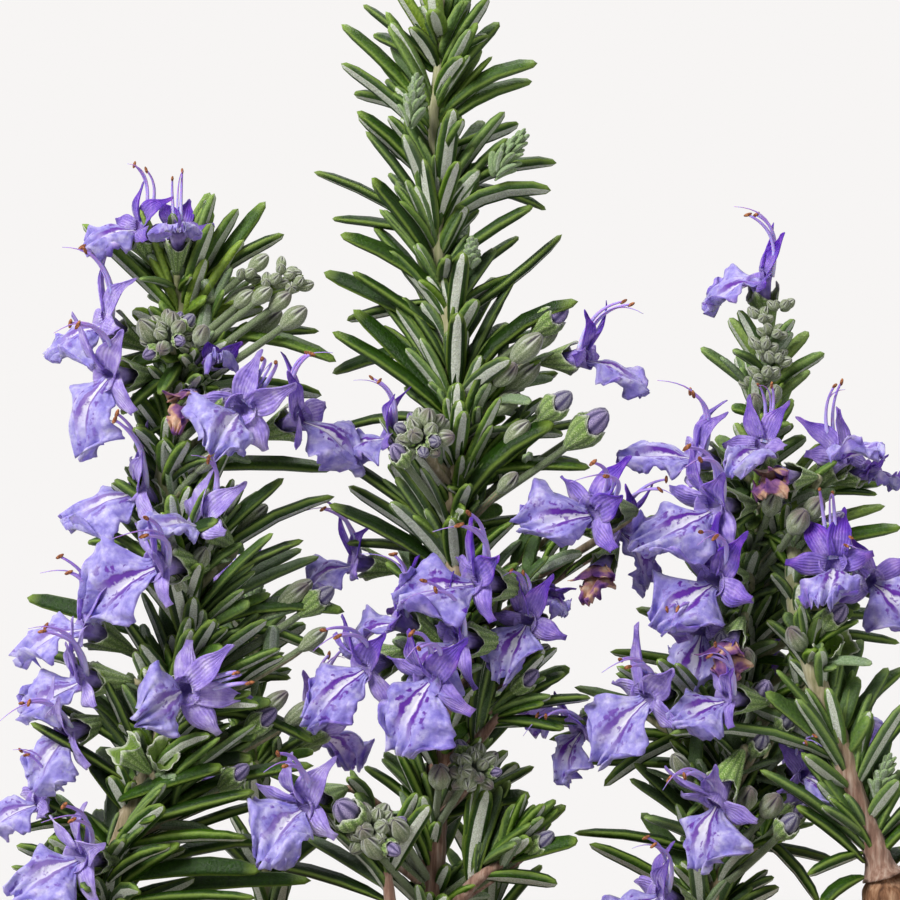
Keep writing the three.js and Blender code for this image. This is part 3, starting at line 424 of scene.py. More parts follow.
# The stems: this year's shoots, square-shouldered and downy at their tips and brown with age lower
# down. They grow from the limbs and carry the leaves, the flowers' short stalks and the buds'.
SHOOTS = {
    "centre": [2.3, 0.7, [
        [-3, 0, 122], [-4, 0, 142], [-3, 0, 163], [-1.5, 0, 184], [0, 0, 193], [1, 0, 208], [0.5, 0, 220],
        [1, 0, 230.5], [0.5, 0, 241], [0, 0, 250], [-2, 0, 260.5], [-1.5, 0, 268], [-2.5, 0, 280],
        [-1.5, 0, 290.5], [-1, 0, 304]]],
    "left": [2.3, 0.9, [
        [-24, -2, 124], [-38, -3, 138], [-48, -3, 151], [-52.5, -4, 163], [-50, -4, 171], [-45, -4, 182.5],
        [-41, -4, 193], [-39, -4, 202], [-41, -4, 214], [-43, -4, 225], [-42, -4, 233.5], [-40, -4, 242.5],
        [-40.5, -4, 256]]],
    "right": [2, 0.8, [
        [18, 4, 124], [28, 5, 138], [36, 5, 150], [40.5, 5, 163], [43.5, 5, 193], [45, 5, 208],
        [47, 5, 230.5], [47.5, 5, 249]]],
    "cut": [2.1, 1.2, [
        [64.5, -8, 167], [63, -8, 172], [60.5, -8, 178], [58, -8, 187], [53.5, -8, 199.5], [51.5, -6, 208],
        [51.5, -4, 216]]],
    "low_left": [1.7, 0.7, [[-26, -9, 116], [-42, -14, 127], [-53, -18, 140], [-58, -20, 152]]],
    "low_right": [1.7, 0.7, [[25, -16, 116], [39, -23, 127], [48, -27, 140], [52, -28, 152]]],
    "front_left": [1.6, 0.7, [[-18, -24, 116], [-24, -33, 128], [-28, -38, 147]]],
    "front_right": [1.6, 0.7, [[8, -28, 117], [12, -37, 130], [14, -41, 147]]],
    "back_left": [1.8, 0.7, [[-18, 22, 121], [-27, 30, 144], [-31, 33, 175], [-31, 31, 206]]],
    "back_mid": [1.8, 0.7, [[4, 20, 123], [6, 27, 148], [3, 28, 180], [0, 26, 208]]],
    "back_right": [1.8, 0.7, [[22, 21, 121], [36, 29, 145], [46, 31, 180], [50, 29, 212]]],
}
SIDE_SHOOTS = {
    "centre": [
        [1.3, 0.8, [[-4, 0, 149], [-8, -6, 159], [-9.5, -8, 168]]],
        [1.2, 0.6, [[-1.5, 0, 180], [4, -4, 187], [10.5, -5, 193.5]]],
        [1.2, 0.6, [[-3, 0, 157], [4, -5, 166], [12, -6, 171]]],
    ],
}
# The open flowers, by shoot: [mouth x, y, z, heading, pitch, roll, rise, size]. Heading 0 faces +X and 270
# the front. Rise is how much steeper than the mouth the calyx and the tube stand, in degrees.
FLOWERS = {
    "left": {
        "top_a": [-47, -8, 264, 215, 15, -20, 40, 0.85], "top_b": [-40.5, -8, 263.5, 278, 30, 0, 40, 0.8],
        "upper_a": [-52.5, -7, 250, 195, 5, -25, 25, 1.05],
        "upper_b": [-51.5, -11, 241.5, 212, -22, -30, 25, 1.15],
        "side_a": [-31, -13, 236.5, 252, -15, -40, 15, 1.15],
        "side_b": [-21.5, -6, 235.5, 335, 5, 25, 15, 1.05], "mid_a": [-47.5, -6, 225, 195, 5, -30, 30, 1.1],
        "mid_b": [-44, -14, 213.5, 205, -10, -55, 20, 1.2], "mid_c": [-37.5, -10, 220, 225, 12, -25, 15, 1],
        "low_a": [-55.5, -6, 204.5, 190, 5, -30, 25, 1.05], "low_b": [-39, -14, 195, 258, -5, -75, 10, 1.1],
        "low_c": [-58, -8, 188, 205, -35, -30, 25, 1], "foot_a": [-62.5, -5, 178, 212, 0, -30, 20, 0.9],
        "foot_b": [-55.5, -13, 170.5, 215, -8, -45, 25, 1.15],
    },
    "centre": {
        "foot": [-22.5, -12, 177.5, 222, -25, -30, 15, 1.2], "upper": [-10, -4, 233, 188, 12, -20, 15, 0.85],
        "side_a": [21, -4, 244.5, 345, -15, 15, 20, 0.95],
        "side_b": [20.5, -14, 221.5, 215, -8, -55, 15, 1.2],
        "side_c": [26.5, -1, 218.5, 340, -20, 20, 20, 0.95], "mid_a": [3, -14, 211.5, 205, -5, -40, 20, 1.2],
        "mid_b": [11, -10, 205, 238, -15, -10, 20, 0.9], "low_a": [0, -13, 202.5, 200, -8, -35, 15, 1.1],
        "low_b": [-3.5, -16, 196.5, 222, -30, -35, 20, 1.2],
        "low_c": [-13.5, -9, 198, 205, -25, -40, 15, 1.15], "low_d": [-8.5, -4, 205.5, 185, 12, -20, 20, 1],
    },
    "right": {
        "top": [47, 4, 257, 190, 12, -20, 62, 1], "upper_a": [36, -3, 230, 195, 8, -30, 15, 1.1],
        "upper_b": [38, -12, 222, 215, -18, -35, 20, 1.25],
        "upper_c": [46, -8, 231.5, 235, 12, -10, 40, 0.85], "upper_d": [59, -3, 230, 305, 20, 10, 20, 0.95],
        "mid_a": [56.5, -13, 214, 262, 5, 5, 35, 1], "mid_b": [63, -8, 211, 292, -5, 45, 15, 0.9],
        "mid_c": [38.5, -11, 211, 222, -20, -35, 20, 1.15], "mid_d": [37, -7, 203, 232, -40, -10, 25, 0.95],
        "low_a": [28.5, -9, 193.5, 208, -28, -40, 25, 1.2], "low_b": [40, -13, 194, 200, -5, -35, 15, 0.95],
        "low_c": [38.5, -13, 178, 218, -42, -15, -12, 1.1], "low_d": [19, -2, 188, 200, -48, -30, 20, 0.9],
    },
    "back_left": {"a": [-41, 44, 197, 130, 5, 0, 20, 1.15], "b": [-21, 42, 186, 60, 0, 0, 20, 1.15]},
    "back_right": {"a": [42, 44, 200, 110, 5, 0, 20, 1.15], "b": [61, 38, 188, 40, 0, 0, 20, 1.15]},
}
# [name, shoot, middle x, y, z, spread, bud radius]
BUD_CLUSTERS = [
    ["left", "left", -41.5, -10, 247, 4.2, 1.6],
    ["centre", "centre", -4, -9, 232, 4.6, 1.9],
    ["centre_low", "centre", 3.5, -9, 182.5, 4.2, 1.7],
    ["front", "centre", -11.5, -10, 173.5, 4.4, 2],
]
# Which way a cluster's stalk runs where it meets it.
CLUSTER_STALK = Vector((0, -0.5, 0.85))
# More flowers, which the solids have fused to their shoots: a row as above, and what state it is in.
BLOOMS = {
    "left": [
        [-56, -9, 196.5, 195, -8, -35, 15, 1.05, "open"], [-34.5, -10, 244, 290, 10, 0, 20, 0.75, "shut"],
        [-39, -11, 238, 250, -40, 0, 20, 0.75, "withered"], [-50, -12, 188, 215, 30, 0, 10, 0.95, "empty"],
        [-42, -12, 187, 285, 25, 0, 10, 0.95, "empty"],
    ],
    "centre": [
        [-15.5, 7, 213.5, 185, -5, -20, 15, 0.95, "open"], [22, -8, 212, 240, -50, 0, 15, 0.85, "withered"],
        [15, -5, 209, 320, -30, 0, 20, 0.75, "shut"],
    ],
    "right": [
        [48.5, -11, 226.5, 215, -25, 0, 25, 0.85, "withered"],
        [63.5, -1, 227.5, 330, -10, 0, 25, 0.8, "shut"], [47.5, 8, 198, 205, 0, -20, 15, 1, "open"],
        [53.5, -5, 182, 310, -15, 30, 15, 0.8, "open"], [30.5, -8, 164.5, 205, 0, -30, 20, 1, "open"],
        [41, -12, 201, 240, -60, 0, 20, 0.8, "withered"], [55.5, -13, 203.5, 255, 15, 0, 20, 0.9, "empty"],
        [60, -9, 202, 300, -10, 0, 20, 0.8, "empty"],
    ],
    "back_left": [[-35, 40, 207, 100, 20, 0, 20, 1, "open"], [-40, 36, 178, 160, 0, 0, 20, 1, "open"]],
    "back_mid": [[-4, 36, 205, 110, 10, 0, 20, 1, "open"], [9, 37, 190, 60, 0, 0, 20, 1, "open"]],
    "back_right": [[56, 38, 209, 70, 20, 0, 20, 1, "open"], [55, 37, 175, 20, 0, 0, 20, 1, "open"]],
}
# Single buds, fused in the same way: [middle x, y, z, radius, length].
NUBS = {
    "left": [
        [-37.5, -8, 244, 1.8, 6], [-40, -8, 239, 1.4, 6], [-27, -4, 250, 1.8, 8], [-31, -4, 253.5, 1.8, 8],
        [-26, -6, 193, 1.7, 8], [-32, -8, 182, 1.8, 7], [-23, -4, 209, 1.8, 8], [-20, -3, 202.5, 1.6, 7],
        [-22, -5, 191.5, 1.7, 8], [-29, -2, 221, 1.6, 7], [-36, -9, 229, 1.5, 6],
    ],
    "centre": [
        [11.5, -3, 242, 2, 9], [14.5, -2, 248, 2, 8], [15.5, -4, 237.5, 1.9, 7], [21, -3, 234.5, 2.2, 9],
        [9, -3, 238, 1.9, 7], [11.3, -7, 196, 1.8, 7], [13.5, -8, 172, 1.8, 7], [13.5, -4, 200, 1.7, 7],
        [9, -7, 226, 1.5, 6],
    ],
    "right": [
        [52, 4, 225, 2, 8], [50, 0, 221, 1.9, 8], [46, 1, 241, 1.3, 5], [49, 2, 245, 1.3, 5],
        [47, 8, 244, 1.3, 5], [55, 3, 218, 1.8, 7], [52, -3, 176, 1.9, 7], [57, -9, 219.5, 1.7, 7],
        [53, -8, 221.5, 1.6, 6], [46, -9, 187, 1.8, 7], [50, -8, 190, 1.7, 7], [34, -8, 184, 1.7, 7],
    ],
    "cut": [[57, -13, 206, 1.9, 7], [51, -12, 203, 1.9, 7]],
}

# Young stem: fine grey down over green, turning tan and then to thin brown fissured bark.
stem_skin, tree, shader = new_finish("downy_young_stem")
where = add_node(tree, "TexCoord").outputs["Object"]
grain_way = add_node(tree, "VectorMath", {0: where, 1: (1500, 1500, 170)}, operation="MULTIPLY")
fissures = add_node(tree, "TexNoise", {"Vector": grain_way, "Scale": 1.0, "Detail": 5.0, "Roughness": 0.6})
age = add_node(tree, "Attribute", attribute_name="age").outputs["Fac"]
young = add_node(tree, "ValToRGB", {0: fissures},
    stops=((0.3, "#7d8254"), (0.55, "#a5a27c"), (0.75, "#c6c2a4")))
old = add_node(tree, "ValToRGB", {0: fissures}, stops=((0.3, "#614538"), (0.5, "#916f5e"), (0.7, "#b59c8c")))
stem_colour = add_node(tree, "Mix", {0: age, 6: young, 7: old}, data_type="RGBA")
bump = add_node(tree, "Bump", {"Height": fissures, "Strength": 0.8, "Distance": 0.0003})
connect(tree, shader, {"Base Color": stem_colour, "Normal": bump, "Roughness": 0.8, "Specular IOR Level": 0.3,
    "Sheen Weight": 0.25})

SHOOT_CURVES = {name: curve_through(route) for name, (thick, thin, route) in SHOOTS.items()}


def at_height(point_at, z):
    """How far along a rising curve it reaches a height."""
    low, high = 0.0, 1.0
    for step in range(24):
        middle = (low + high) / 2
        if point_at(middle).z < z:
            low = middle
        else:
            high = middle
    return low


def bent(start, control, end):
    """A curve with one bend, pulled towards its control point."""
    return lambda t: start * (1 - t) ** 2 + control * (2 * t * (1 - t)) + end * t ** 2


TUBE_LENGTH = 9


def flower_place(x, y, z, heading, pitch, roll, size):
    """The move that puts a flower on the plant. In its own frame its mouth, at the origin, looks along +X."""
    turn, lift = math.radians(heading), math.radians(pitch)
    forwards = Vector((math.cos(turn) * math.cos(lift), math.sin(turn) * math.cos(lift), math.sin(lift)))
    left = Vector((-math.sin(turn), math.cos(turn), 0))
    left.rotate(Quaternion(forwards, math.radians(roll)))
    axes = (forwards, left, forwards.cross(left))
    turned = Matrix([[axis[row] for axis in axes] for row in range(3)]).to_4x4()
    return Matrix.Translation((x, y, z)) @ turned @ Matrix.Scale(size, 4)


def tube_place(place, rise):
    """The same for its calyx and tube, whose foot is at the origin. They stand steeper by rise."""
    return place @ Matrix.Rotation(-math.radians(rise), 4, "Y") @ Matrix.Translation((-TUBE_LENGTH, 0, 0))


def tubes_on(name):
    """The places of the calyxes and tubes of all of a shoot's flowers."""
    rows = list(FLOWERS.get(name, {}).values()) + [bloom[:-1] for bloom in BLOOMS.get(name, [])]
    return [tube_place(flower_place(*place, size), rise) for *place, rise, size in rows]


def stalk_root(name, seat):
    """Where a stalk leaves its stem: lower down for a seat that stands further off."""
    point_at = SHOOT_CURVES[name]
    level = point_at(at_height(point_at, seat.z))
    drop = 2 + 0.55 * math.hypot(seat.x - level.x, seat.y - level.y)
    return point_at(at_height(point_at, min(max(seat.z - drop, point_at(0).z + 4), point_at(1).z - 1)))


def draw_stalk(mesh, name, seat, approach):
    """A short stalk from a shoot's stem to the foot of a flower, a bud or a cluster."""
    line = bent(stalk_root(name, seat), seat - approach * 3, seat)
    return draw_rod(mesh, line, lambda share: 0.7 - 0.15 * share, 6, 6)


def nub_axis(name, middle, length):
    """Foot and direction of a small bud that stands off a shoot."""
    outwards = middle - stalk_root(name, middle)
    outwards.z = 0
    outwards = (outwards.normalized() + Vector((0, 0, 0.8))).normalized()
    return middle - outwards * (length / 2), outwards


for name, (thick, thin, route) in SHOOTS.items():
    mesh, marks = start_shape("age")
    point_at = SHOOT_CURVES[name]
    # The shoot beside the cut widens where it leaves the branch.
    flare = 1.3 if name == "cut" else 0

    def stem_radius(share):
        return thick + (thin - thick) * share + flare * max(1 - share / 0.1, 0) ** 2

    draw_rod(mesh, point_at, stem_radius, 12, 12 * len(route))
    for wide, slim, side_route in SIDE_SHOOTS.get(name, []):
        draw_rod(mesh, curve_through(side_route), lambda share: wide + (slim - wide) * share, 10, 12)
    for vert in mesh.verts:
        vert.co += noise.noise_vector(vert.co * 0.35) * 0.25
    for tube in tubes_on(name):
        draw_stalk(mesh, name, tube.translation, (tube.to_3x3() @ Vector((1, 0, 0))).normalized())
    for cluster, on, x, y, z, spread, radius in BUD_CLUSTERS:
        if on == name:
            draw_stalk(mesh, name, Vector((x, y, z)), CLUSTER_STALK)
    for x, y, z, radius, length in NUBS.get(name, []):
        foot, outwards = nub_axis(name, Vector((x, y, z)), length)
        draw_stalk(mesh, name, foot, outwards)
    # How far below its tip a stem stays green, and over what length it turns brown.
    green, turning = (14, 22) if name == "cut" else (45, 70)
    for vert in mesh.verts:
        vert[marks["age"]] = clamp((point_at(1).z - green - vert.co.z) / turning)
    stem = make_piece(mesh, f"stem_{name}", stem_skin)
    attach(stem, "root")
    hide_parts(f"shoot_{name}")


# The leaves: stiff narrow needles in pairs, leathery and dark green above, their margins rolled under
# and round a strip of white felt. Short tufts of young leaves stand in the axils of the older ones.

# The largest leaves, by shoot: [height of the base on the stem, tip x, y, z, bend].
LEAVES = {
    "centre": [
        [281, -16.4, -1, 294.7, 0.04], [277, -16.5, 1, 289, 0.05], [270, -13.8, -3, 280.8, 0.03],
        [262.5, -20.6, 0, 272.5, 0.06], [253.5, -16.5, -4, 262.8, 0.08], [248.5, -19.2, 3, 257.5, 0.02],
        [235, -17.7, -4, 248.2, 0.05], [236, -14.7, 2, 251.8, 0.03], [240, -10.5, 4, 249.3, 0.02],
        [217, -19, -2, 230.7, 0.03], [214.5, -15.5, 4, 225, 0.02], [211.5, -18.2, -4, 222.3, 0.05],
        [288, -13.2, 2, 298, 0.03], [290, -9, -3, 301.5, 0.02], [278.5, -9.8, 4, 286.8, 0.02],
        [259, -11.7, -5, 270.7, 0.02], [260.5, -8.7, 5, 272.5, 0.01], [244, -13.8, 5, 256, 0.02],
        [280, 13.2, -2, 288.7, 0.12], [278.5, 12.5, 3, 286.5, 0.1], [267.5, 16.2, 2, 274, 0.12],
        [264, 15.2, -3, 269.5, 0.14], [257.5, 12.5, -5, 267, 0.05], [250, 17, 2, 263.2, -0.03],
        [254.5, 10.5, 5, 263, 0.02], [237.3, 19.2, -6, 252.7, 0.14], [221.5, 15.3, -6, 234.7, 0.04],
        [284.5, 7.5, 3, 295.5, 0.03], [287.5, 5.8, -3, 298.5, 0.02], [268, 0.5, -7, 281.5, 0.03],
        [262.5, -4, -7, 274, 0.02], [247.5, 2, -8, 260, 0.05], [237.5, 1.2, -7, 251, 0.1],
        [230.5, 5.6, -5, 243, 0.02], [228.5, 1.5, -7, 238, -0.04], [225, 20, 5, 228.5, 0.08],
        [213, 2.2, -9, 221.5, 0.3], [173.5, -8, -7, 186, 0.03], [173, 12.8, 2, 182.5, 0.05],
        [175, 12, -6, 178.7, 0.06], [166, -5, 6, 180, 0.02], [200, -3, 8, 213, 0.02], [245, 7, 9, 257, 0.02],
        [250, -5, 9, 262, 0.02], [270, 5, 8, 281, 0.02], [240, -6, 10, 250, 0.02], [226, 5, 10, 238, 0.02],
        [222, -8, 9, 232, 0.02], [293, -5, 1, 306, 0.02], [294, 4, 2, 306, 0.02],
        [298, -3.5, -2, 308.5, 0.02], [299, 2.5, -1, 309, 0.02],
    ],
    "left": [
        [250, -55, -6, 264.3, 0.03], [252, -35.5, -8, 264.3, 0.03], [251, -31.8, -3, 266.8, 0.04],
        [250, -27.8, -1, 268, 0.02], [248, -30.8, -6, 262, 0.03], [247, -17, -5, 243.7, 0.1],
        [243, -48.8, -10, 235.8, 0.03], [244.5, -42.8, -12, 238.8, 0.02], [212, -24.8, -6, 226.3, 0.03],
        [209, -17.3, -3, 223.5, 0.1], [206, -21.8, -7, 217, 0.08], [203, -15.8, -4, 206.2, 0.12],
        [201, -18.8, -2, 199.5, 0.16], [190, -20.3, -5, 186.5, 0.14], [193, -24, 0, 196, 0.1],
        [180, -29.3, -8, 184.5, 0.08], [172, -20.3, -6, 183.3, 0.1], [170, -29.3, -3, 179, 0.08],
        [179.5, -62.3, -10, 190, 0.02], [183.5, -59.3, -4, 192.3, 0.03], [193, -48.8, -10, 206, 0.02],
        [201, -41.3, -12, 212, 0.02], [250, -45, 6, 262, 0.02], [246, -33, 8, 252, 0.05],
        [215, -37, 9, 227, 0.03], [212, -52, 5, 223, 0.02], [203, -47, 8, 213, 0.03],
        [188, -31, 6, 197, 0.04], [184, -52, 6, 195, 0.03], [176, -38, 6, 186, 0.03],
        [165, -60, 3, 175, 0.03], [163, -40, -10, 172, 0.05], [158, -62, -6, 167, 0.05],
        [160, -44, 6, 171, 0.04],
    ],
    "right": [
        [239, 38, 3, 246, 0.03], [243.5, 42.5, 4, 250.6, 0.02], [241, 54.6, 4, 248.5, 0.02],
        [239, 56.9, 3, 245.2, 0.04], [236, 54.5, 1, 242.5, 0.03], [233, 46, -1, 242, 0.02],
        [230, 51.8, -1, 238, 0.04], [235, 44, 10, 245, 0.02], [232, 52, 10, 241, 0.02],
        [214, 66, 2, 222, 0.05], [216, 38, 10, 226, 0.03], [212, 56, 11, 221, 0.03], [205, 36, 8, 214, 0.03],
        [200, 58, 6, 209, 0.05], [184, 15, 3, 186.5, 0.08], [188, 23.3, 2, 179.5, 0.1],
        [168, 18.8, 3, 172.3, 0.06], [160, 21, 0, 171, 0.04], [178, 33, -4, 187, 0.03],
        [172, 50, 2, 181, 0.03], [165, 52, 10, 174, 0.03], [170, 33, 12, 180, 0.02], [186, 51, 12, 196, 0.02],
        [195, 36, 12, 205, 0.02],
    ],
    "cut": [
        [184, 32.3, -13, 188.5, 0.1], [170, 45.8, -12, 183.2, 0.05], [182, 51, -14, 194, 0.03],
        [172, 54.8, -14, 178, 0.04], [186, 65.5, -6, 198, 0.03], [180, 67.5, -11, 193, 0.03],
        [176, 66, -2, 188, 0.03], [190, 62, -1, 202, 0.03], [178, 52, -2, 188, 0.03],
        [172, 73, -8, 181, 0.04],
    ],
}
# Leaves in opposite pairs: [lowest z, highest z, spacing, leaf length, angle from the stem, first heading].
PAIRS = {
    "low_left": [[120, 151, 6, 15, 50, 50]],
    "low_right": [[120, 151, 6, 15, 50, 20]],
    "front_left": [[119, 146, 6, 15, 50, 20]],
    "front_right": [[120, 146, 6, 15, 50, 70]],
    "back_left": [[125, 205, 9, 16, 50, 10]],
    "back_mid": [[127, 207, 9, 16, 50, 50]],
    "back_right": [[125, 211, 9, 16, 50, 30]],
    "centre": [[125, 162, 6, 16, 55, 0], [167, 236, 7.5, 14, 48, 70]],
    "left": [[128, 158, 6, 16, 55, 40], [162, 250, 7, 13.5, 50, 20]],
    "right": [[128, 160, 6, 16, 55, 80], [164, 232, 7, 13.5, 50, 55]],
}
# Leaves of the centre shoot's side shoots: [base x, y, z, tip x, y, z].
SIDE_LEAVES = [
    [-9, -7, 163, -27.3, -10, 169.2], [-9, -7, 165, -20, -11, 178], [-9, -8, 167, -3, -12, 178],
    [3.5, -4, 186, 5.3, -7, 202], [4.5, -4, 187.5, 7.5, -3, 200.5], [8, -5, 191, 21, -7, 193.5],
    [6, -4.5, 189, 20.5, -3, 189.3], [7, -5, 190, 17, -9, 189], [9, -5, 192, 14, -8, 201],
    [3, -4, 165, 5.6, -8, 180], [4, -5, 166, 9, -4, 181], [9, -6, 169, 19, -10, 172.5],
    [6, -5, 167.5, 17.5, -2, 177], [8, -5.5, 168.5, 14, -10, 178], [5, -5, 166.5, 16, -9, 166],
]
LEAF_WIDTH = 2.8
# Half a leaf's section as [across, upwards] in half widths, from the groove over its midrib round the
# rolled margin to the felt, and back on the other side. Then its outline as [share of length, width].
LEAF_SECTION = [(0, 0.34), (0.56, 0.52), (1, 0.06), (0.62, -0.5), (0, -0.24),
                (-0.62, -0.5), (-1, 0.06), (-0.56, 0.52)]
LEAF_OUTLINE = [(0, 0), (0.04, 0.42), (0.2, 0.78), (0.42, 1), (0.66, 1), (0.86, 0.86), (0.965, 0.52), (1, 0)]

# Leaf skin: a waxy dark green upper side with tiny blisters a third of a millimetre across, darkened as
# painted shade in the gaps between them, yellower towards the margin and the tip, and a matt white felt of
# branched hairs between the rolled margins.
leaf_skin, tree, shader = new_finish("waxy_leaf_with_felt_underside")
where = add_node(tree, "TexCoord").outputs["Object"]
felt, rim, reach, tint, down = [add_node(tree, "Attribute", attribute_name=mark).outputs["Fac"]
                                for mark in ("felt", "rim", "reach", "tint", "down")]
blisters = add_node(tree, "TexVoronoi", {"Vector": where, "Scale": 2600.0}, feature="SMOOTH_F1")
mottle = add_node(tree, "TexNoise", {"Vector": where, "Scale": 260.0, "Detail": 4.0})
green = add_node(tree, "ValToRGB", {0: tint}, stops=((0.0, "#152d01"), (0.45, "#305403"), (0.8, "#5b810f"),
    (1.0, "#93ad30")))
patchy = add_node(tree, "ValToRGB", {0: mottle}, stops=((0.3, "#8d9c5e"), (0.65, "#fdffd8")))
mottled = add_node(tree, "Mix", {0: 0.55, 6: green, 7: patchy}, data_type="RGBA", blend_type="MULTIPLY")
# Painted shade: the green is multiplied darker in the low gaps between the blisters, where the bump falls
# away.
blister_gap_shade = add_node(tree, "ValToRGB", {0: blisters.outputs["Distance"]},
    stops=((0.1, "#ffffff"), (0.75, "#738d3c")))
blister_gap_shaded = add_node(tree, "Mix", {0: 0.7, 6: mottled, 7: blister_gap_shade}, data_type="RGBA", blend_type="MULTIPLY")
tip_glow = add_node(tree, "MapRange", {0: reach, 1: 0.88, 2: 1.0, 3: 0.0, 4: 0.6})
rim_glow = add_node(tree, "MapRange", {0: rim, 1: 0.6, 2: 1.0, 3: 0.0, 4: 0.55})
glow = add_node(tree, "Math", {0: tip_glow, 1: rim_glow}, operation="MAXIMUM")
edged = add_node(tree, "Mix", {0: glow, 6: blister_gap_shaded, 7: "#9ab54c"}, data_type="RGBA")
hairs = add_node(tree, "TexNoise", {"Vector": where, "Scale": 6000.0, "Detail": 2.0})
felt_white = add_node(tree, "ValToRGB", {0: hairs},
    stops=((0.3, "#b3b99f"), (0.5, "#d0d4c4"), (0.7, "#e8ebe2")))
felt_share = add_node(tree, "MapRange", {0: felt, 1: 0.22, 2: 0.32, 3: 0.0, 4: 1.0})
felted = add_node(tree, "Mix", {0: felt_share, 6: edged, 7: felt_white}, data_type="RGBA")
down_white = add_node(tree, "ValToRGB", {0: hairs},
    stops=((0.3, "#6d8764"), (0.55, "#9fb090"), (0.8, "#ced8c8")))
downy = add_node(tree, "Mix", {0: down, 6: felted, 7: down_white}, data_type="RGBA")
dull = add_node(tree, "Math", {0: felt_share, 1: down}, operation="MAXIMUM")
sheen_off = add_node(tree, "MapRange", {0: dull, 1: 0.0, 2: 1.0, 3: 0.42, 4: 0.95})
relief = add_node(tree, "Math", {0: blisters.outputs["Distance"], 1: -0.8, 2: hairs},
    operation="MULTIPLY_ADD")
bump = add_node(tree, "Bump", {"Height": relief, "Strength": 0.6, "Distance": 0.00022})
connect(tree, shader, {"Base Color": downy, "Roughness": sheen_off, "Normal": bump, "Specular IOR Level": 0.3,
    "Subsurface Weight": 0.06, "Subsurface Scale": 0.0012, "Subsurface Radius": (0.5, 1.0, 0.2)})

UP = Vector((0, 0, 1))
LEAF_RINGS = len(LEAF_OUTLINE) - 1


def shape_leaf(verts, marks, base, tip, bend, width, roll, tint, down=0.0):
    """Shapes a small sphere into a needle from base to tip, its groove upwards and turned by roll."""
    length = (tip - base).length
    along = (tip - base) / length
    face = (UP - along * UP.dot(along)).normalized()
    line = bent(base, (base + tip) / 2 + face * (2 * bend * length), tip)
    face.rotate(Quaternion(along, roll))
    rings = []
    for share, wide in LEAF_OUTLINE:
        way = direction_of(line, share)
        across = way.cross(face).normalized() * (width / 2)
        rings.append((line(share), across, across.cross(way), wide))
    for vert in verts:
        ring, turn = ring_and_turn(vert, LEAF_RINGS)
        corner = round(turn * 4 / math.pi) % 8
        middle, across, up, wide = rings[ring]
        sideways, upwards = LEAF_SECTION[corner]
        vert.co = middle + across * (sideways * wide) + up * (upwards * wide)
        vert[marks["felt"]] = 1.0 if corner == 4 and 0 < ring < LEAF_RINGS else 0.0
        vert[marks["rim"]] = 1.0 if corner in (2, 6) else 0.35 if corner in (3, 5) else 0.0
        vert[marks["reach"]] = LEAF_OUTLINE[ring][0]
        vert[marks["tint"]] = tint
        vert[marks["down"]] = down


def draw_leaves(mesh, marks, leaves):
    """All the leaves of a shoot: one sphere, doubled until there is one for each of them."""
    bmesh.ops.create_uvsphere(mesh, u_segments=8, v_segments=LEAF_RINGS, radius=1)
    count = 1
    while count < len(leaves):
        copies = bmesh.ops.duplicate(mesh, geom=mesh.verts[:] + mesh.edges[:] + mesh.faces[:])["geom"]
        for item in copies:
            if isinstance(item, bmesh.types.BMVert):
                item[marks["number"]] += count
        count *= 2
    spheres = [[] for leaf in range(count)]
    for vert in mesh.verts:
        spheres[round(vert[marks["number"]])].append(vert)
    for leaf, verts in zip(leaves, spheres):
        shape_leaf(verts, marks, *leaf)
    spare = [vert for verts in spheres[len(leaves):] for vert in verts]
    bmesh.ops.delete(mesh, geom=spare, context="VERTS")


def leaf_root(name, z, tip):
    """A third of the stem's radius from its axis, on the side of the leaf's tip."""
    point_at = SHOOT_CURVES[name]
    share = at_height(point_at, z)
    along = direction_of(point_at, share)
    thick, thin, route = SHOOTS[name]
    sideways = tip - point_at(share)
    sideways = (sideways - along * sideways.dot(along)).normalized()
    return point_at(share) + sideways * (0.35 * (thick + (thin - thick) * share))


def paired_leaves(name, table):
    """Base, tip and bend of the leaves that stand in opposite pairs, each pair a quarter turn on."""
    grown = []
    for lowest, highest, spacing, length, angle, heading in table.get(name, []):
        count = int((highest - lowest) // spacing)
        for pair in range(count + 1):
            z = lowest + pair * spacing
            share = at_height(SHOOT_CURVES[name], z)
            along = direction_of(SHOOT_CURVES[name], share)
            for side in (0, 180):
                turn = math.radians(heading + 90 * pair + side + 18 * math.sin(2.4 * pair + side))
                lean = math.radians(angle + 7 * math.sin(1.7 * pair + side))
                reach = length * (1 + 0.12 * math.sin(3.1 * pair + side)) * (1 - 0.35 * (pair / count) ** 2)
                tip = SHOOT_CURVES[name](share) + along * (reach * math.cos(lean))
                tip += Vector((math.cos(turn), math.sin(turn), 0)) * (reach * math.sin(lean))
                grown.append((leaf_root(name, z, tip), tip, 0.05))
    return grown


def leaves_of(name):
    """Base, tip and bend of each full-grown leaf of a shoot."""
    grown = [(leaf_root(name, z, Vector((x, y, top))), Vector((x, y, top)), bend)
             for z, x, y, top, bend in LEAVES.get(name, [])] + paired_leaves(name, PAIRS)
    if name == "centre":
        grown += [(Vector(leaf[:3]), Vector(leaf[3:]), 0.05) for leaf in SIDE_LEAVES]
    return grown


# Leaves and buds follow each other round a stem at about the golden angle, in radians.
GOLDEN_TURN = 2.4


def shoot_tip(foot, way, length, chance, down):
    """The end bud of a shoot: small downy leaves that overlap up a short cone."""
    side = way.orthogonal().normalized()
    leaves = []
    for leaf in range(26):
        share = leaf / 25
        outwards = side.copy()
        outwards.rotate(Quaternion(way, GOLDEN_TURN * leaf))
        start = foot + way * (length * 0.72 * share) + outwards * 0.3
        reach = length * (0.42 - 0.2 * share)
        spread = 0.62 - 0.42 * share
        end = start + (way * math.cos(spread) + outwards * math.sin(spread)) * reach
        leaves.append((start, end, 0.1, 1.5 - 0.5 * share, chance.gauss(0, 0.2), 0.9,
                       down * chance.uniform(0.7, 1)))
    return leaves


